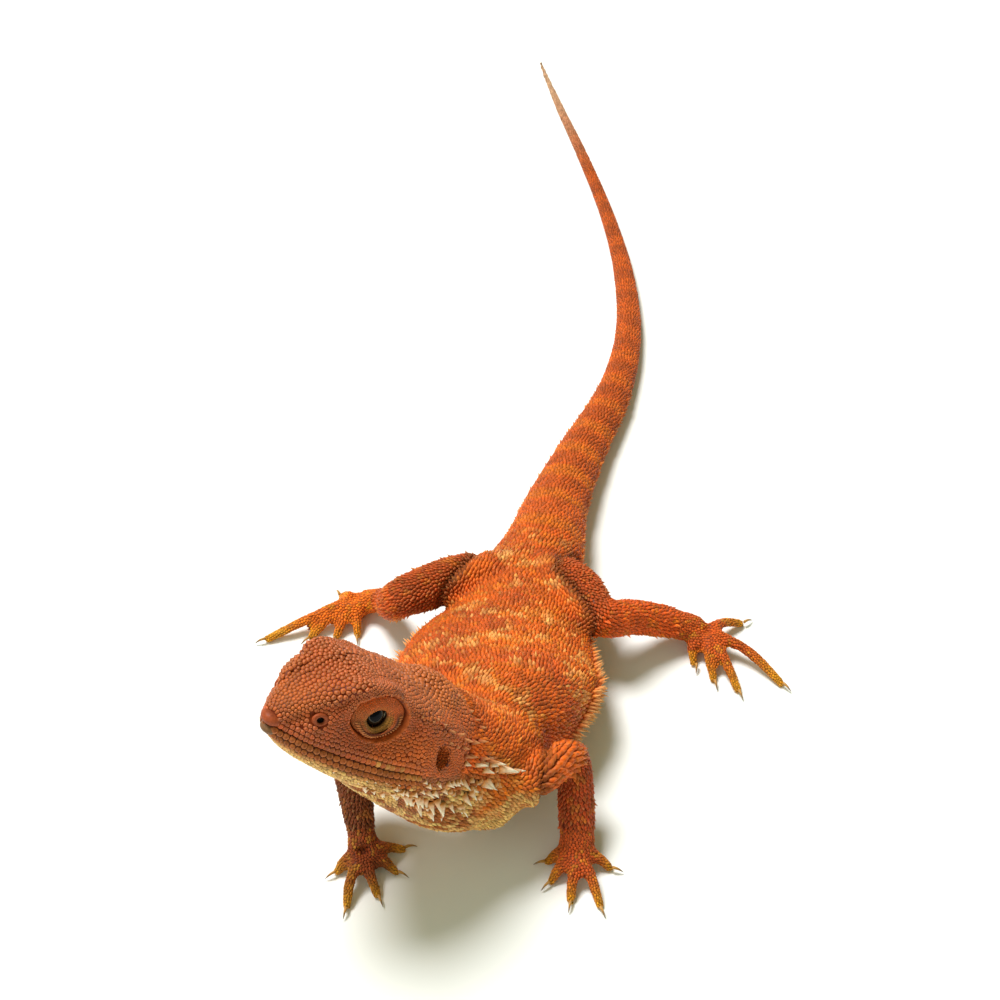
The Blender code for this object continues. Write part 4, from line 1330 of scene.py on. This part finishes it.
def ring_faces(count, sectors, closed=False):
    """Faces between one ring of corners and the next; closed joins the last ring to the first."""
    i, j = np.meshgrid(np.arange(count if closed else count - 1), np.arange(sectors), indexing="ij")
    k, after = (j + 1) % sectors, (i + 1) % count
    return np.stack([i * sectors + j, after * sectors + j, after * sectors + k, i * sectors + k],
                    axis=-1).reshape(-1, 4)


def capped(rings, ends):
    """Corners and faces of rings closed by a corner at each end."""
    count, sectors = len(rings), len(rings[0])
    first, last = count * sectors, (count - 1) * sectors
    ring = np.arange(sectors)
    after = (ring + 1) % sectors
    faces = list(ring_faces(count, sectors))
    faces += list(np.stack([np.full(sectors, first), ring, after], axis=1))
    faces += list(np.stack([np.full(sectors, first + 1), last + after, last + ring], axis=1))
    return np.concatenate(rings + [np.array(ends)]), faces


def eyeball(side):
    """An eye from the pupil's middle to its back, with the colours of the eye and a painted highlight."""
    turned = np.array([1, side, 1])
    centre, look = EYE_PLACE * turned, unit(EYE_LOOK * turned)
    across = unit(np.cross(look, [0.0, 0.0, 1.0]))
    up = np.cross(across, look)
    radii = np.concatenate([np.linspace(0.12, 2.6, 34), np.linspace(2.8, 3.55, 6)])
    rings = []
    for a in (*np.arcsin(radii / EYE_RADIUS), *np.linspace(1.7, 2.9, 9)):
        r = EYE_RADIUS + CORNEA * step(0.62, 0.1, a)
        rings.append(centre + look * math.cos(a) * r + circle(56, across, up) * math.sin(a) * r)
    points, faces = capped(rings, [centre + look * (EYE_RADIUS + CORNEA), centre - look * EYE_RADIUS])
    out = points - centre
    a = np.arccos(np.clip(unit(out) @ look, -1, 1))
    r = np.sin(a) * EYE_RADIUS
    around = np.arctan2(out @ up, out @ across)
    iris = mix(linear((48, 32, 20)), linear((26, 14, 8)), step(1.6, 2.4, r))
    iris = iris * (0.75 + 0.5 * lumps(np.stack([around * 6, r * 1.5, r * 0], axis=1), 1.0, 4))[:, None]
    colour = mix(np.tile(PUPIL, (len(points), 1)), iris, step(1.50, 1.62, r))
    pale_ring = hump(r - 1.47, 0.07) * (0.75 + 0.25 * np.sin(around))
    colour = over(colour, (142, 138, 126), pale_ring * 0.9)
    # Painted highlight: a pale glint on the eye by the rear corner of the opening.
    to_rear = unit(np.array([1.0, 0.0, 0.42]))
    level = out @ np.array([-0.42, 0.0, 1.0])
    white = hump(out @ to_rear - 2.15, 0.5) * hump(level - 0.3, 0.45) * (a < 1.2)
    return from_head(points), faces, over(colour, (196, 186, 160), white * 0.9)


def opening_and_edge(turn):
    """Places on the opening between the lids and on their outer edge, back and up."""
    long, tall, middle = (np.array(v)[[0, 2]] for v in (LID_LONG, LID_TALL, LID_MIDDLE))
    outer = middle + np.cos(turn)[:, None] * long + np.sin(turn)[:, None] * tall
    point = 1 + 0.08 * np.abs(np.cos(turn)) ** 8
    inner = (np.array(OPENING_MIDDLE) + (np.cos(turn) * point)[:, None] * np.array(OPENING_LONG)
             + np.sin(turn)[:, None] * np.array(OPENING_TALL))
    return inner, outer


def lid_lines(side, turn, t):
    """Head coordinates on the lids: t runs from the opening's edge, 0, to the crease, 1."""
    inner, outer = opening_and_edge(turn)
    flat = inner + (outer - inner) * t[:, None]
    square = (EYE_RADIUS + 0.4) ** 2 - (inner[:, 0] - EYE_PLACE[0]) ** 2 - (inner[:, 1] - EYE_PLACE[2]) ** 2
    edge = EYE_PLACE[1] + np.sqrt(np.maximum(square, 1.2))
    depth = np.interp(turn % (2 * math.pi), made["crease"][0], made["crease"][1][side])
    fall = np.where(depth < edge, t ** 1.9, t)
    low = step(0.2, -0.6, np.sin(turn))
    out = edge + (depth - edge) * fall + (0.5 + 0.75 * low) * np.sin(math.pi * np.clip(t, 0, 1)) ** 0.8
    return np.stack([flat[:, 0], out * side, flat[:, 1]], axis=1)


def measure_crease():
    """How far out the skin lies all round the lids' outer edge, on each side."""
    turn = np.linspace(0, 2 * math.pi, 73)
    long, tall = np.array(LID_LONG), np.array(LID_TALL)
    found = {}
    for side in (1, -1):
        outs = []
        for a in turn:
            q = np.array(LID_MIDDLE) + 1.03 * (math.cos(a) * long + math.sin(a) * tall)
            start = from_head((q[0], side * 40.0, q[2]))
            hit = made["surface"].tree.ray_cast(start.tolist(), (-side * HEAD_AXES[1]).tolist())
            outs.append(abs(to_head(np.array(hit[0]))[1]))
        outs = np.array(outs)
        for _ in range(4):
            outs[1:-1] = (outs[:-2] + outs[2:] + 2 * outs[1:-1]) / 4
            outs[0] = outs[-1] = (outs[1] + outs[-2]) / 2
        found[side] = outs - 0.25
    made["crease"] = (turn, found)


def lid_colour(turn, t, settings):
    """Orange-red upper lid, ochre band under the eye, dark margin, and painted shade in the crease."""
    low = step(0.25, -0.25, np.sin(turn))
    colour = over(linear(settings.lid_orange), (178, 120, 54), step(0.42, 0.2, t) * (0.25 + 0.75 * low))
    colour = over(colour, (74, 32, 18), low * step(0.42, 0.52, t) * step(0.92, 0.84, t) * 0.9)
    colour = over(colour, (150, 88, 44), step(-0.55, -0.95, np.cos(turn)) * 0.5)
    colour = over(colour, (60, 34, 18), step(0.05, 0.0, t) * 0.85)
    # Painted shade in the crease round the lids.
    return mix(colour, CREASE_SHADE, step(0.93, 1.0, t) * 0.9)


def lid_shell(side, settings):
    """Both faces of the lids of one eye, as a ring that closes on itself."""
    turn = np.arange(LID_SECTORS) * 2 * math.pi / LID_SECTORS
    rings, colours = [], []
    for under in (False, True):
        for i in range(LID_RINGS + 1):
            ring = LID_RINGS - i if under else i
            t = np.full(LID_SECTORS, ring / LID_RINGS)
            line, shade = lid_lines(side, turn, t), lid_colour(turn, t, settings)
            # On the underside the lids are painted in shade, a fifth as bright as their outer face.
            if under:
                line[:, 1] -= side * (0.3 if ring == 0 else 0.6)
                shade = shade * 0.2
            rings.append(line)
            colours.append(shade)
    faces = ring_faces(len(rings), LID_SECTORS, closed=True)
    return from_head(np.concatenate(rings)), faces, np.concatenate(colours)


def lid_granules(side, rng):
    """Roots of the lids' fine scales in rings round the opening, and of the comb below."""
    grains = []
    for ring, t in enumerate(LID_ROWS):
        path = lid_lines(side, np.linspace(0, 2 * math.pi, 160, endpoint=False), np.full(160, t))
        length = np.linalg.norm(np.diff(path, axis=0), axis=1).sum()
        number = int(length / (0.46 + 0.05 * ring / 7))
        for i in range(number):
            a = (i + 0.5 * (ring % 2) + rng.normal(0, 0.08)) * 2 * math.pi / number
            if not (math.sin(a) < -0.12 and 0.5 < t < 0.88):
                grains.append((a, t, False))
    grains += [(math.radians(186 + 7.3 * i), 0.69, True) for i in range(COMB_TEETH)]
    turns, ts, comb = np.array(grains).T
    here = lid_lines(side, turns, ts)
    out = unit(lid_lines(side, turns, ts + 0.04) - here)
    normal = unit(np.cross(out, lid_lines(side, turns + 0.04, ts) - here))
    normal *= np.sign(normal[:, 1] * side)[:, None]
    lie = unit(out - (out * normal).sum(axis=1, keepdims=True) * normal)
    return {"turns": turns, "ts": ts, "comb": comb > 0, "points": from_head(here),
            "normals": normal @ HEAD_AXES, "lie": lie @ HEAD_AXES}


def lid_plates(side, settings, rng):
    """The lids' granules and the teeth of the comb as plates."""
    grains = lid_granules(side, rng)
    comb = grains["comb"]
    count, turn = len(comb), np.arange(8) * 2 * math.pi / 8
    tooth = 1 / np.sqrt((np.cos(turn) / 0.72) ** 2 + (np.sin(turn) / 0.21) ** 2)
    reach = np.where(comb[:, None], tooth, 0.23)
    colour = lid_colour(grains["turns"], grains["ts"], settings)
    colour = np.where(comb[:, None], linear((226, 128, 78)), colour)
    colour = colour * rng.uniform(0.6, 1.3, count)[:, None]
    style = {"thick": np.where(comb, 0.34, 0.12), "overlap": np.where(comb, 0.0, 0.08),
             "lift": np.where(comb, 0.12, 0.02), "ridge": np.zeros(count), "edge": np.full(count, 0.78),
             "heart": np.where(comb, 0.95, 0.8),
             "rim": np.tile(linear((236, 170, 110)), (count, 1)), "rim_share": np.where(comb, 0.5, 0.25)}
    where = locate(grains["points"], solids.node_at(grains["points"]))
    return plates(grains, np.arange(count), reach, style, colour, island(where))


def claw_shape(node):
    """A hooked, tapering claw on the axis of the frame's own claw."""
    points, _ = read_node(node)
    palm = LINES[node]["points"][1]
    tip = points[np.linalg.norm(points - palm, axis=1).argmax()]
    from_tip = np.linalg.norm(points - tip, axis=1)
    base = points[from_tip > 0.72 * from_tip.max()].mean(axis=0)
    ahead = unit(tip - base)
    across = unit(np.cross(ahead, [0.0, 0.0, 1.0]))
    up = np.cross(across, ahead)
    length = np.linalg.norm(tip - base) - 0.15 + CLAW_ROOT
    rings, colours, sectors = [], [], 12
    for t in np.linspace(0, 1, 12):
        radius = 0.44 * (1 - t) ** 0.8 + 0.03
        middle = base + ahead * (length * t - CLAW_ROOT) + up * (0.42 * math.sin(math.pi * t) * (1 - 0.3 * t))
        rings.append(middle + radius * circle(sectors, across * 0.8, up))
        shade = mix(linear((186, 132, 56)), linear((128, 92, 52)), step(0.3, 0.75, t))
        colours.append(np.tile(over(shade, (92, 80, 68), step(0.75, 1.0, t)), (sectors, 1)))
    colours += [colours[0][:1], colours[-1][:1]]
    corners, faces = capped(rings, [rings[0].mean(axis=0), rings[-1].mean(axis=0) + ahead * 0.05])
    return corners, faces, np.concatenate(colours)


def joined_shapes(name, shapes):
    """One object from (corners, faces, colours) shapes, with normals turned out."""
    faces, start = [], 0
    for shape_points, shape_faces, _ in shapes:
        faces += [np.asarray(f) + start for f in shape_faces]
        start += len(shape_points)
    points = np.concatenate([shape[0] for shape in shapes])
    points[:, 2] = np.maximum(points[:, 2], COAT_OVER_FLOOR)
    obj = make_mesh(name, points, faces, np.concatenate([shape[2] for shape in shapes]))
    outward = bmesh.new()
    outward.from_mesh(obj.data)
    bmesh.ops.recalc_face_normals(outward, faces=outward.faces)
    outward.to_mesh(obj.data)
    outward.free()
    return obj


def nostril_ring(side):
    """A raised ring round the nostril with painted shade in its pit, turned on the cheek's own normal."""
    start = from_head((NOSTRIL[0], side * 40.0, NOSTRIL[1]))
    way = -side * HEAD_AXES[1]
    hit = made["bare_surface"].ray_cast(start.tolist(), way.tolist())
    middle = np.array(hit[0])
    normal = unit(np.array(hit[1]) - 0.08 * way)
    across = unit(np.cross(normal, HEAD_AXES[2]))
    up = np.cross(across, normal)
    rings, colours, sectors = [], [], 36
    for r, h in NOSTRIL_PROFILE:
        rings.append(middle + normal * (h - 0.22) + r * circle(sectors, across * 1.1, up * 0.9))
        # Painted shade in the nostril's pit.
        shade = mix(linear((176, 84, 46)), NOSTRIL_SHADE, step(0.0, -0.45, h) * (r < 1))
        colours.append(np.tile(shade * 0.74, (sectors, 1)))
    colours += [colours[-1][:2]]
    corners, faces = capped(rings, [middle - normal * 1.5, middle - normal * 1.1])
    return corners, faces, np.concatenate(colours)


def snout_plate(middle, radii, paint_chart):
    """A smooth domed plate at the tip of the snout."""
    x, y, z = np.eye(3)
    rings = [math.cos(a) * z + math.sin(a) * circle(24, x, y) for a in np.arange(1, 14) * math.pi / 14]
    corners, faces = capped(rings, [z, -z])
    edge = step(0.35, 0.95, np.abs(corners[:, 2]))
    colour = mix(np.tile(linear(paint_chart), (len(corners), 1)), linear(paint_chart) * 0.35, edge * 0.6)
    return from_head(np.array(middle) + corners * np.array(radii)), faces, colour


# ---- sizes and colours a user may change --------------------------------------------------------

def number(name, words, default, low=0.0, high=1.0):
    return FloatProperty(name=name, description=words, default=default, min=low, max=high)


def rounds(name, words, default, high):
    return IntProperty(name=name, description=words, default=default, min=0, max=high)


def paint(name, words, chart):
    return FloatVectorProperty(name=name, description=words, default=chart, size=3, min=0, max=255)


class DragonSizes(bpy.types.PropertyGroup):
    """Sizes of the coat, in millimetres where they are lengths, and paint chart colours from 0 to 255."""
    skin_grid: number("Skin Grid", "Spacing of the skin's corners in mm", 0.66, 0.4, 2.0)
    skin_rounds: rounds("Skin Smoothing", "Rounds of smoothing", 10, 60)
    coat_depth: number("Coat Depth", "How far the skin lies inside the solids in mm", 0.35)
    paw_depth: number("Paw Depth", "How far the skin lies inside hands and feet in mm", 0.16)
    scale_share: number("Scale Width", "Width of all scales against their usual width", 0.74, 0.6, 2.0)
    relax_rounds: rounds("Even Out", "Rounds that space the scales evenly", 9, 30)
    unevenness: number("Unevenness", "How much scales differ in brightness", 0.34)
    paint_depth: number("Paint Depth", "Brightness of all painted markings", 0.95, 0.1, 2.0)
    richness: number("Richness", "Strength of colour against grey", 1.14, 0.0, 2.0)
    seed: rounds("Seed", "Start of the random order", 7, 1000)
    head_red: paint("Head Red", "Crown and snout", (192, 78, 38))
    jaw_cream: paint("Jaw Cream", "Underside of the jaw", (246, 206, 140))
    spike_cream: paint("Spike Cream", "Tips of the beard's spikes", (255, 250, 226))
    throat_cream: paint("Throat Cream", "Throat and chest", (250, 208, 138))
    trunk_orange: paint("Trunk Orange", "Back and sides", (222, 106, 28))
    blotch_yellow: paint("Blotch Yellow", "Pale cross blotches", (252, 194, 128))
    tail_orange: paint("Tail Orange", "Tail between its bands", (214, 98, 44))
    tail_band: paint("Tail Band", "Tail's dark bands", (156, 66, 34))
    toe_ochre: paint("Toe Ochre", "Ends of the toes", (234, 178, 74))
    lid_orange: paint("Lid Orange", "Upper lids", (204, 88, 32))


class DRAGON_OT_skin(bpy.types.Operator):
    """One skin over head, trunk, tail and legs in place of the frame's flesh"""
    bl_idname = "dragon.skin"
    bl_label = "Skin"

    def execute(self, context):
        settings = context.scene.dragon
        mesh, points, faces, where = build_skin(settings)
        made["surface"] = SkinSurface(points, faces)
        made["skin_where"] = where
        store(mesh, "Colour", np.clip(skin_colours(points, where, settings), 0, 1))
        mesh.polygons.foreach_set("use_smooth", np.ones(len(mesh.polygons), bool))
        material = flesh_material("dragon_skin", grain=900.0, mottle=0.22, bump=0.5)
        dress(add_object("skin", mesh), material, "body_scales", *FLESH)
        return {"FINISHED"}


class DRAGON_OT_scales(bpy.types.Operator):
    """Overlapping scales over the whole skin, a piece for each region"""
    bl_idname = "dragon.scales"
    bl_label = "Scales"

    def execute(self, context):
        settings = context.scene.dragon
        rng = np.random.default_rng(settings.seed + 1)
        made["head_spines"] = head_spines(settings, np.random.default_rng(settings.seed + 4))
        roots = scale_roots(settings)
        roots["colours"] = rough_scale_colours(roots, settings, rng)
        roots["patch"] = island(roots["where"])
        style = scale_styles(roots, rng)
        style["rim"] = roots["colours"] * 0.4 + linear((232, 138, 72)) * 0.6
        made["roots"] = roots
        reach = {sides: reaches(roots, sides) for sides in (6, 8)}
        names = np.array(FLESH)[roots["where"]["label"]]
        matt = flesh_material("dragon_scales", rim_amount=0.12, grain=1600.0, mottle=0.15)
        horn = flesh_material("dragon_head_scales", rim_amount=0.12, grain=1600.0, mottle=0.18, specular=0.4)
        for name, (slot, nodes) in SCALE_PIECES.items():
            keep = np.flatnonzero(np.isin(names, nodes))
            sides = 6 if slot == "toe_scales" else 8
            keep = keep[np.argsort(roots["where"]["s"][keep], kind="stable")]
            halves = np.array_split(keep, -(-len(keep) * (4 * sides - 2) // MOST_TRIANGLES))
            for i, half in enumerate(halves):
                part = plates(roots, half, reach[sides], style, roots["colours"], roots["patch"])
                obj = plates_object(name if len(halves) == 1 else f"{name}_{i + 1}", [part])
                dress(obj, horn if slot == "head_scales" else matt, slot)
        return {"FINISHED"}


class DRAGON_OT_spines(bpy.types.Operator):
    """Beard, temple and nape spikes, and the thorns of flanks, limbs and back"""
    bl_idname = "dragon.spines"
    bl_label = "Spines"

    def execute(self, context):
        settings = context.scene.dragon
        material = flesh_material("dragon_spines", grain=1800.0, mottle=0.12, bump=0.15)
        dress(grow_spines("spines_head", made["head_spines"], material), material, "jaw_scales")
        body = body_spines(made["roots"], np.random.default_rng(settings.seed + 2))
        dress(grow_spines("spines_body", body, material), material, "body_scales")
        return {"FINISHED"}


class DRAGON_OT_eyes(bpy.types.Operator):
    """Eyeballs with pupil, pale ring and wet surface, in place of the frame's eyes"""
    bl_idname = "dragon.eyes"
    bl_label = "Eyes"

    def execute(self, context):
        material = flesh_material("dragon_eye", grain=2500.0, mottle=0.1, bump=0.0, specular=0.0)
        shader = material.node_tree.nodes["Principled BSDF"]
        shader.inputs["Coat Weight"].default_value = 0.14
        shader.inputs["Coat Roughness"].default_value = 0.04
        for side, word in ((1, "left"), (-1, "right")):
            obj = joined_shapes(f"eyeball_{word}", [eyeball(side)])
            dress(obj, material, "eye", f"eye_{word}")
        return {"FINISHED"}


class DRAGON_OT_lids(bpy.types.Operator):
    """Domed lids with rings of granules and the comb under the eye"""
    bl_idname = "dragon.lids"
    bl_label = "Eyelids"

    def execute(self, context):
        settings = context.scene.dragon
        rng = np.random.default_rng(settings.seed + 3)
        measure_crease()
        material = flesh_material("dragon_lids", grain=2200.0, mottle=0.2, bump=0.3)
        lids = joined_shapes("lids", [lid_shell(side, settings) for side in (1, -1)])
        grains = plates_object("scales_lids", [lid_plates(side, settings, rng) for side in (1, -1)])
        for piece in (lids, grains):
            dress(piece, material, "head_scales")
        return {"FINISHED"}


class DRAGON_OT_nostrils(bpy.types.Operator):
    """Raised rings round the nostrils and the plates at the snout's tip"""
    bl_idname = "dragon.nostrils"
    bl_label = "Nostrils"

    def execute(self, context):
        material = flesh_material("dragon_nostril", grain=2200.0, mottle=0.2, bump=0.3)
        shapes = {"nostrils": [nostril_ring(side) for side in (1, -1)],
                  "snout_plates": [snout_plate(*plate) for plate in SNOUT_PLATES]}
        for name, parts in shapes.items():
            dress(joined_shapes(name, parts), material, "head_scales")
        return {"FINISHED"}


class DRAGON_OT_claws(bpy.types.Operator):
    """Twenty hooked claws in place of the frame's"""
    bl_idname = "dragon.claws"
    bl_label = "Claws"

    def execute(self, context):
        material = flesh_material("dragon_claw", grain=2600.0, mottle=0.25, bump=0.2, specular=0.5)
        nodes = [node for paw in PAWS for node in CLAWS[paw]]
        dress(joined_shapes("claws", [claw_shape(node) for node in nodes]), material, "claw", *nodes)
        return {"FINISHED"}


class DRAGON_OT_stage(bpy.types.Operator):
    """Pale floor, soft light and the camera"""
    bl_idname = "dragon.stage"
    bl_label = "Stage"

    def execute(self, context):
        scene = context.scene
        half = FLOOR_SIDE / 2
        corners = np.array([(-half, -half, 0), (half, -half, 0), (half, half, 0), (-half, half, 0)])
        floor = make_mesh("floor", corners / MM, np.array([(0, 1, 2, 3)]), smooth=False)
        material = bpy.data.materials.new("floor_white")
        material.use_nodes = True
        shader = material.node_tree.nodes["Principled BSDF"]
        shader.inputs["Base Color"].default_value = FLOOR_WHITE
        shader.inputs["Roughness"].default_value = 0.75
        shader.inputs["Specular IOR Level"].default_value = 0.1
        floor.data.materials.append(material)

        world = bpy.data.worlds.new("studio")
        world.use_nodes = True
        add = node_maker(world.node_tree)
        seen = add("ShaderNodeLightPath").outputs["Is Camera Ray"]
        level = add("ShaderNodeMapRange", {"To Min": BACKDROP_LIGHT, "To Max": 1.0, "Value": seen})
        background = world.node_tree.nodes["Background"]
        background.inputs["Color"].default_value = BACKDROP
        world.node_tree.links.new(level.outputs["Result"], background.inputs["Strength"])
        scene.world = world
        for name, place, spread, energy in LAMPS:
            lamp = bpy.data.lights.new(name, "SUN")
            lamp.angle = math.radians(spread)
            lamp.energy = energy
            light = add_object(name, lamp)
            light.location = place
            light.rotation_euler = (-Vector(place)).to_track_quat("-Z", "Y").to_euler()

        lens = bpy.data.cameras.new("camera")
        lens.lens = CAMERA_LENS
        lens.sensor_width = CAMERA_SENSOR
        lens.dof.use_dof = False
        lens.clip_start = 0.01
        camera = add_object("camera", lens)
        camera.location = ((SNOUT + CAMERA_FROM_SNOUT) * MM).tolist()
        camera.rotation_euler = (math.radians(CAMERA_TILT), 0.0, 0.0)
        scene.camera = camera
        scene.view_settings.view_transform = "Standard"
        return {"FINISHED"}


class DRAGON_PT_panel(bpy.types.Panel):
    """Lists the dragon's pieces and their settings"""
    bl_idname = "DRAGON_PT_panel"
    bl_label = "Bearded Dragon"
    bl_space_type = "VIEW_3D"
    bl_region_type = "UI"
    bl_category = "Dragon"

    def draw(self, context):
        for operator in OPERATORS:
            self.layout.operator(operator.bl_idname)
        for name in DragonSizes.__annotations__:
            self.layout.prop(context.scene.dragon, name)


OPERATORS = (DRAGON_OT_skin, DRAGON_OT_eyes, DRAGON_OT_lids, DRAGON_OT_nostrils, DRAGON_OT_scales,
             DRAGON_OT_spines, DRAGON_OT_claws, DRAGON_OT_stage)
CLASSES = (DragonSizes,) + OPERATORS + (DRAGON_PT_panel,)


def register():
    for cls in CLASSES:
        bpy.utils.register_class(cls)
    bpy.types.Scene.dragon = PointerProperty(type=DragonSizes)


def unregister():
    del bpy.types.Scene.dragon
    for cls in reversed(CLASSES):
        bpy.utils.unregister_class(cls)


def main():
    """Make every piece in order."""
    register()
    for piece in ("skin", "eyes", "lids", "nostrils", "scales", "spines", "claws", "stage"):
        getattr(bpy.ops.dragon, piece)()


if __name__ == "__main__":
    main()
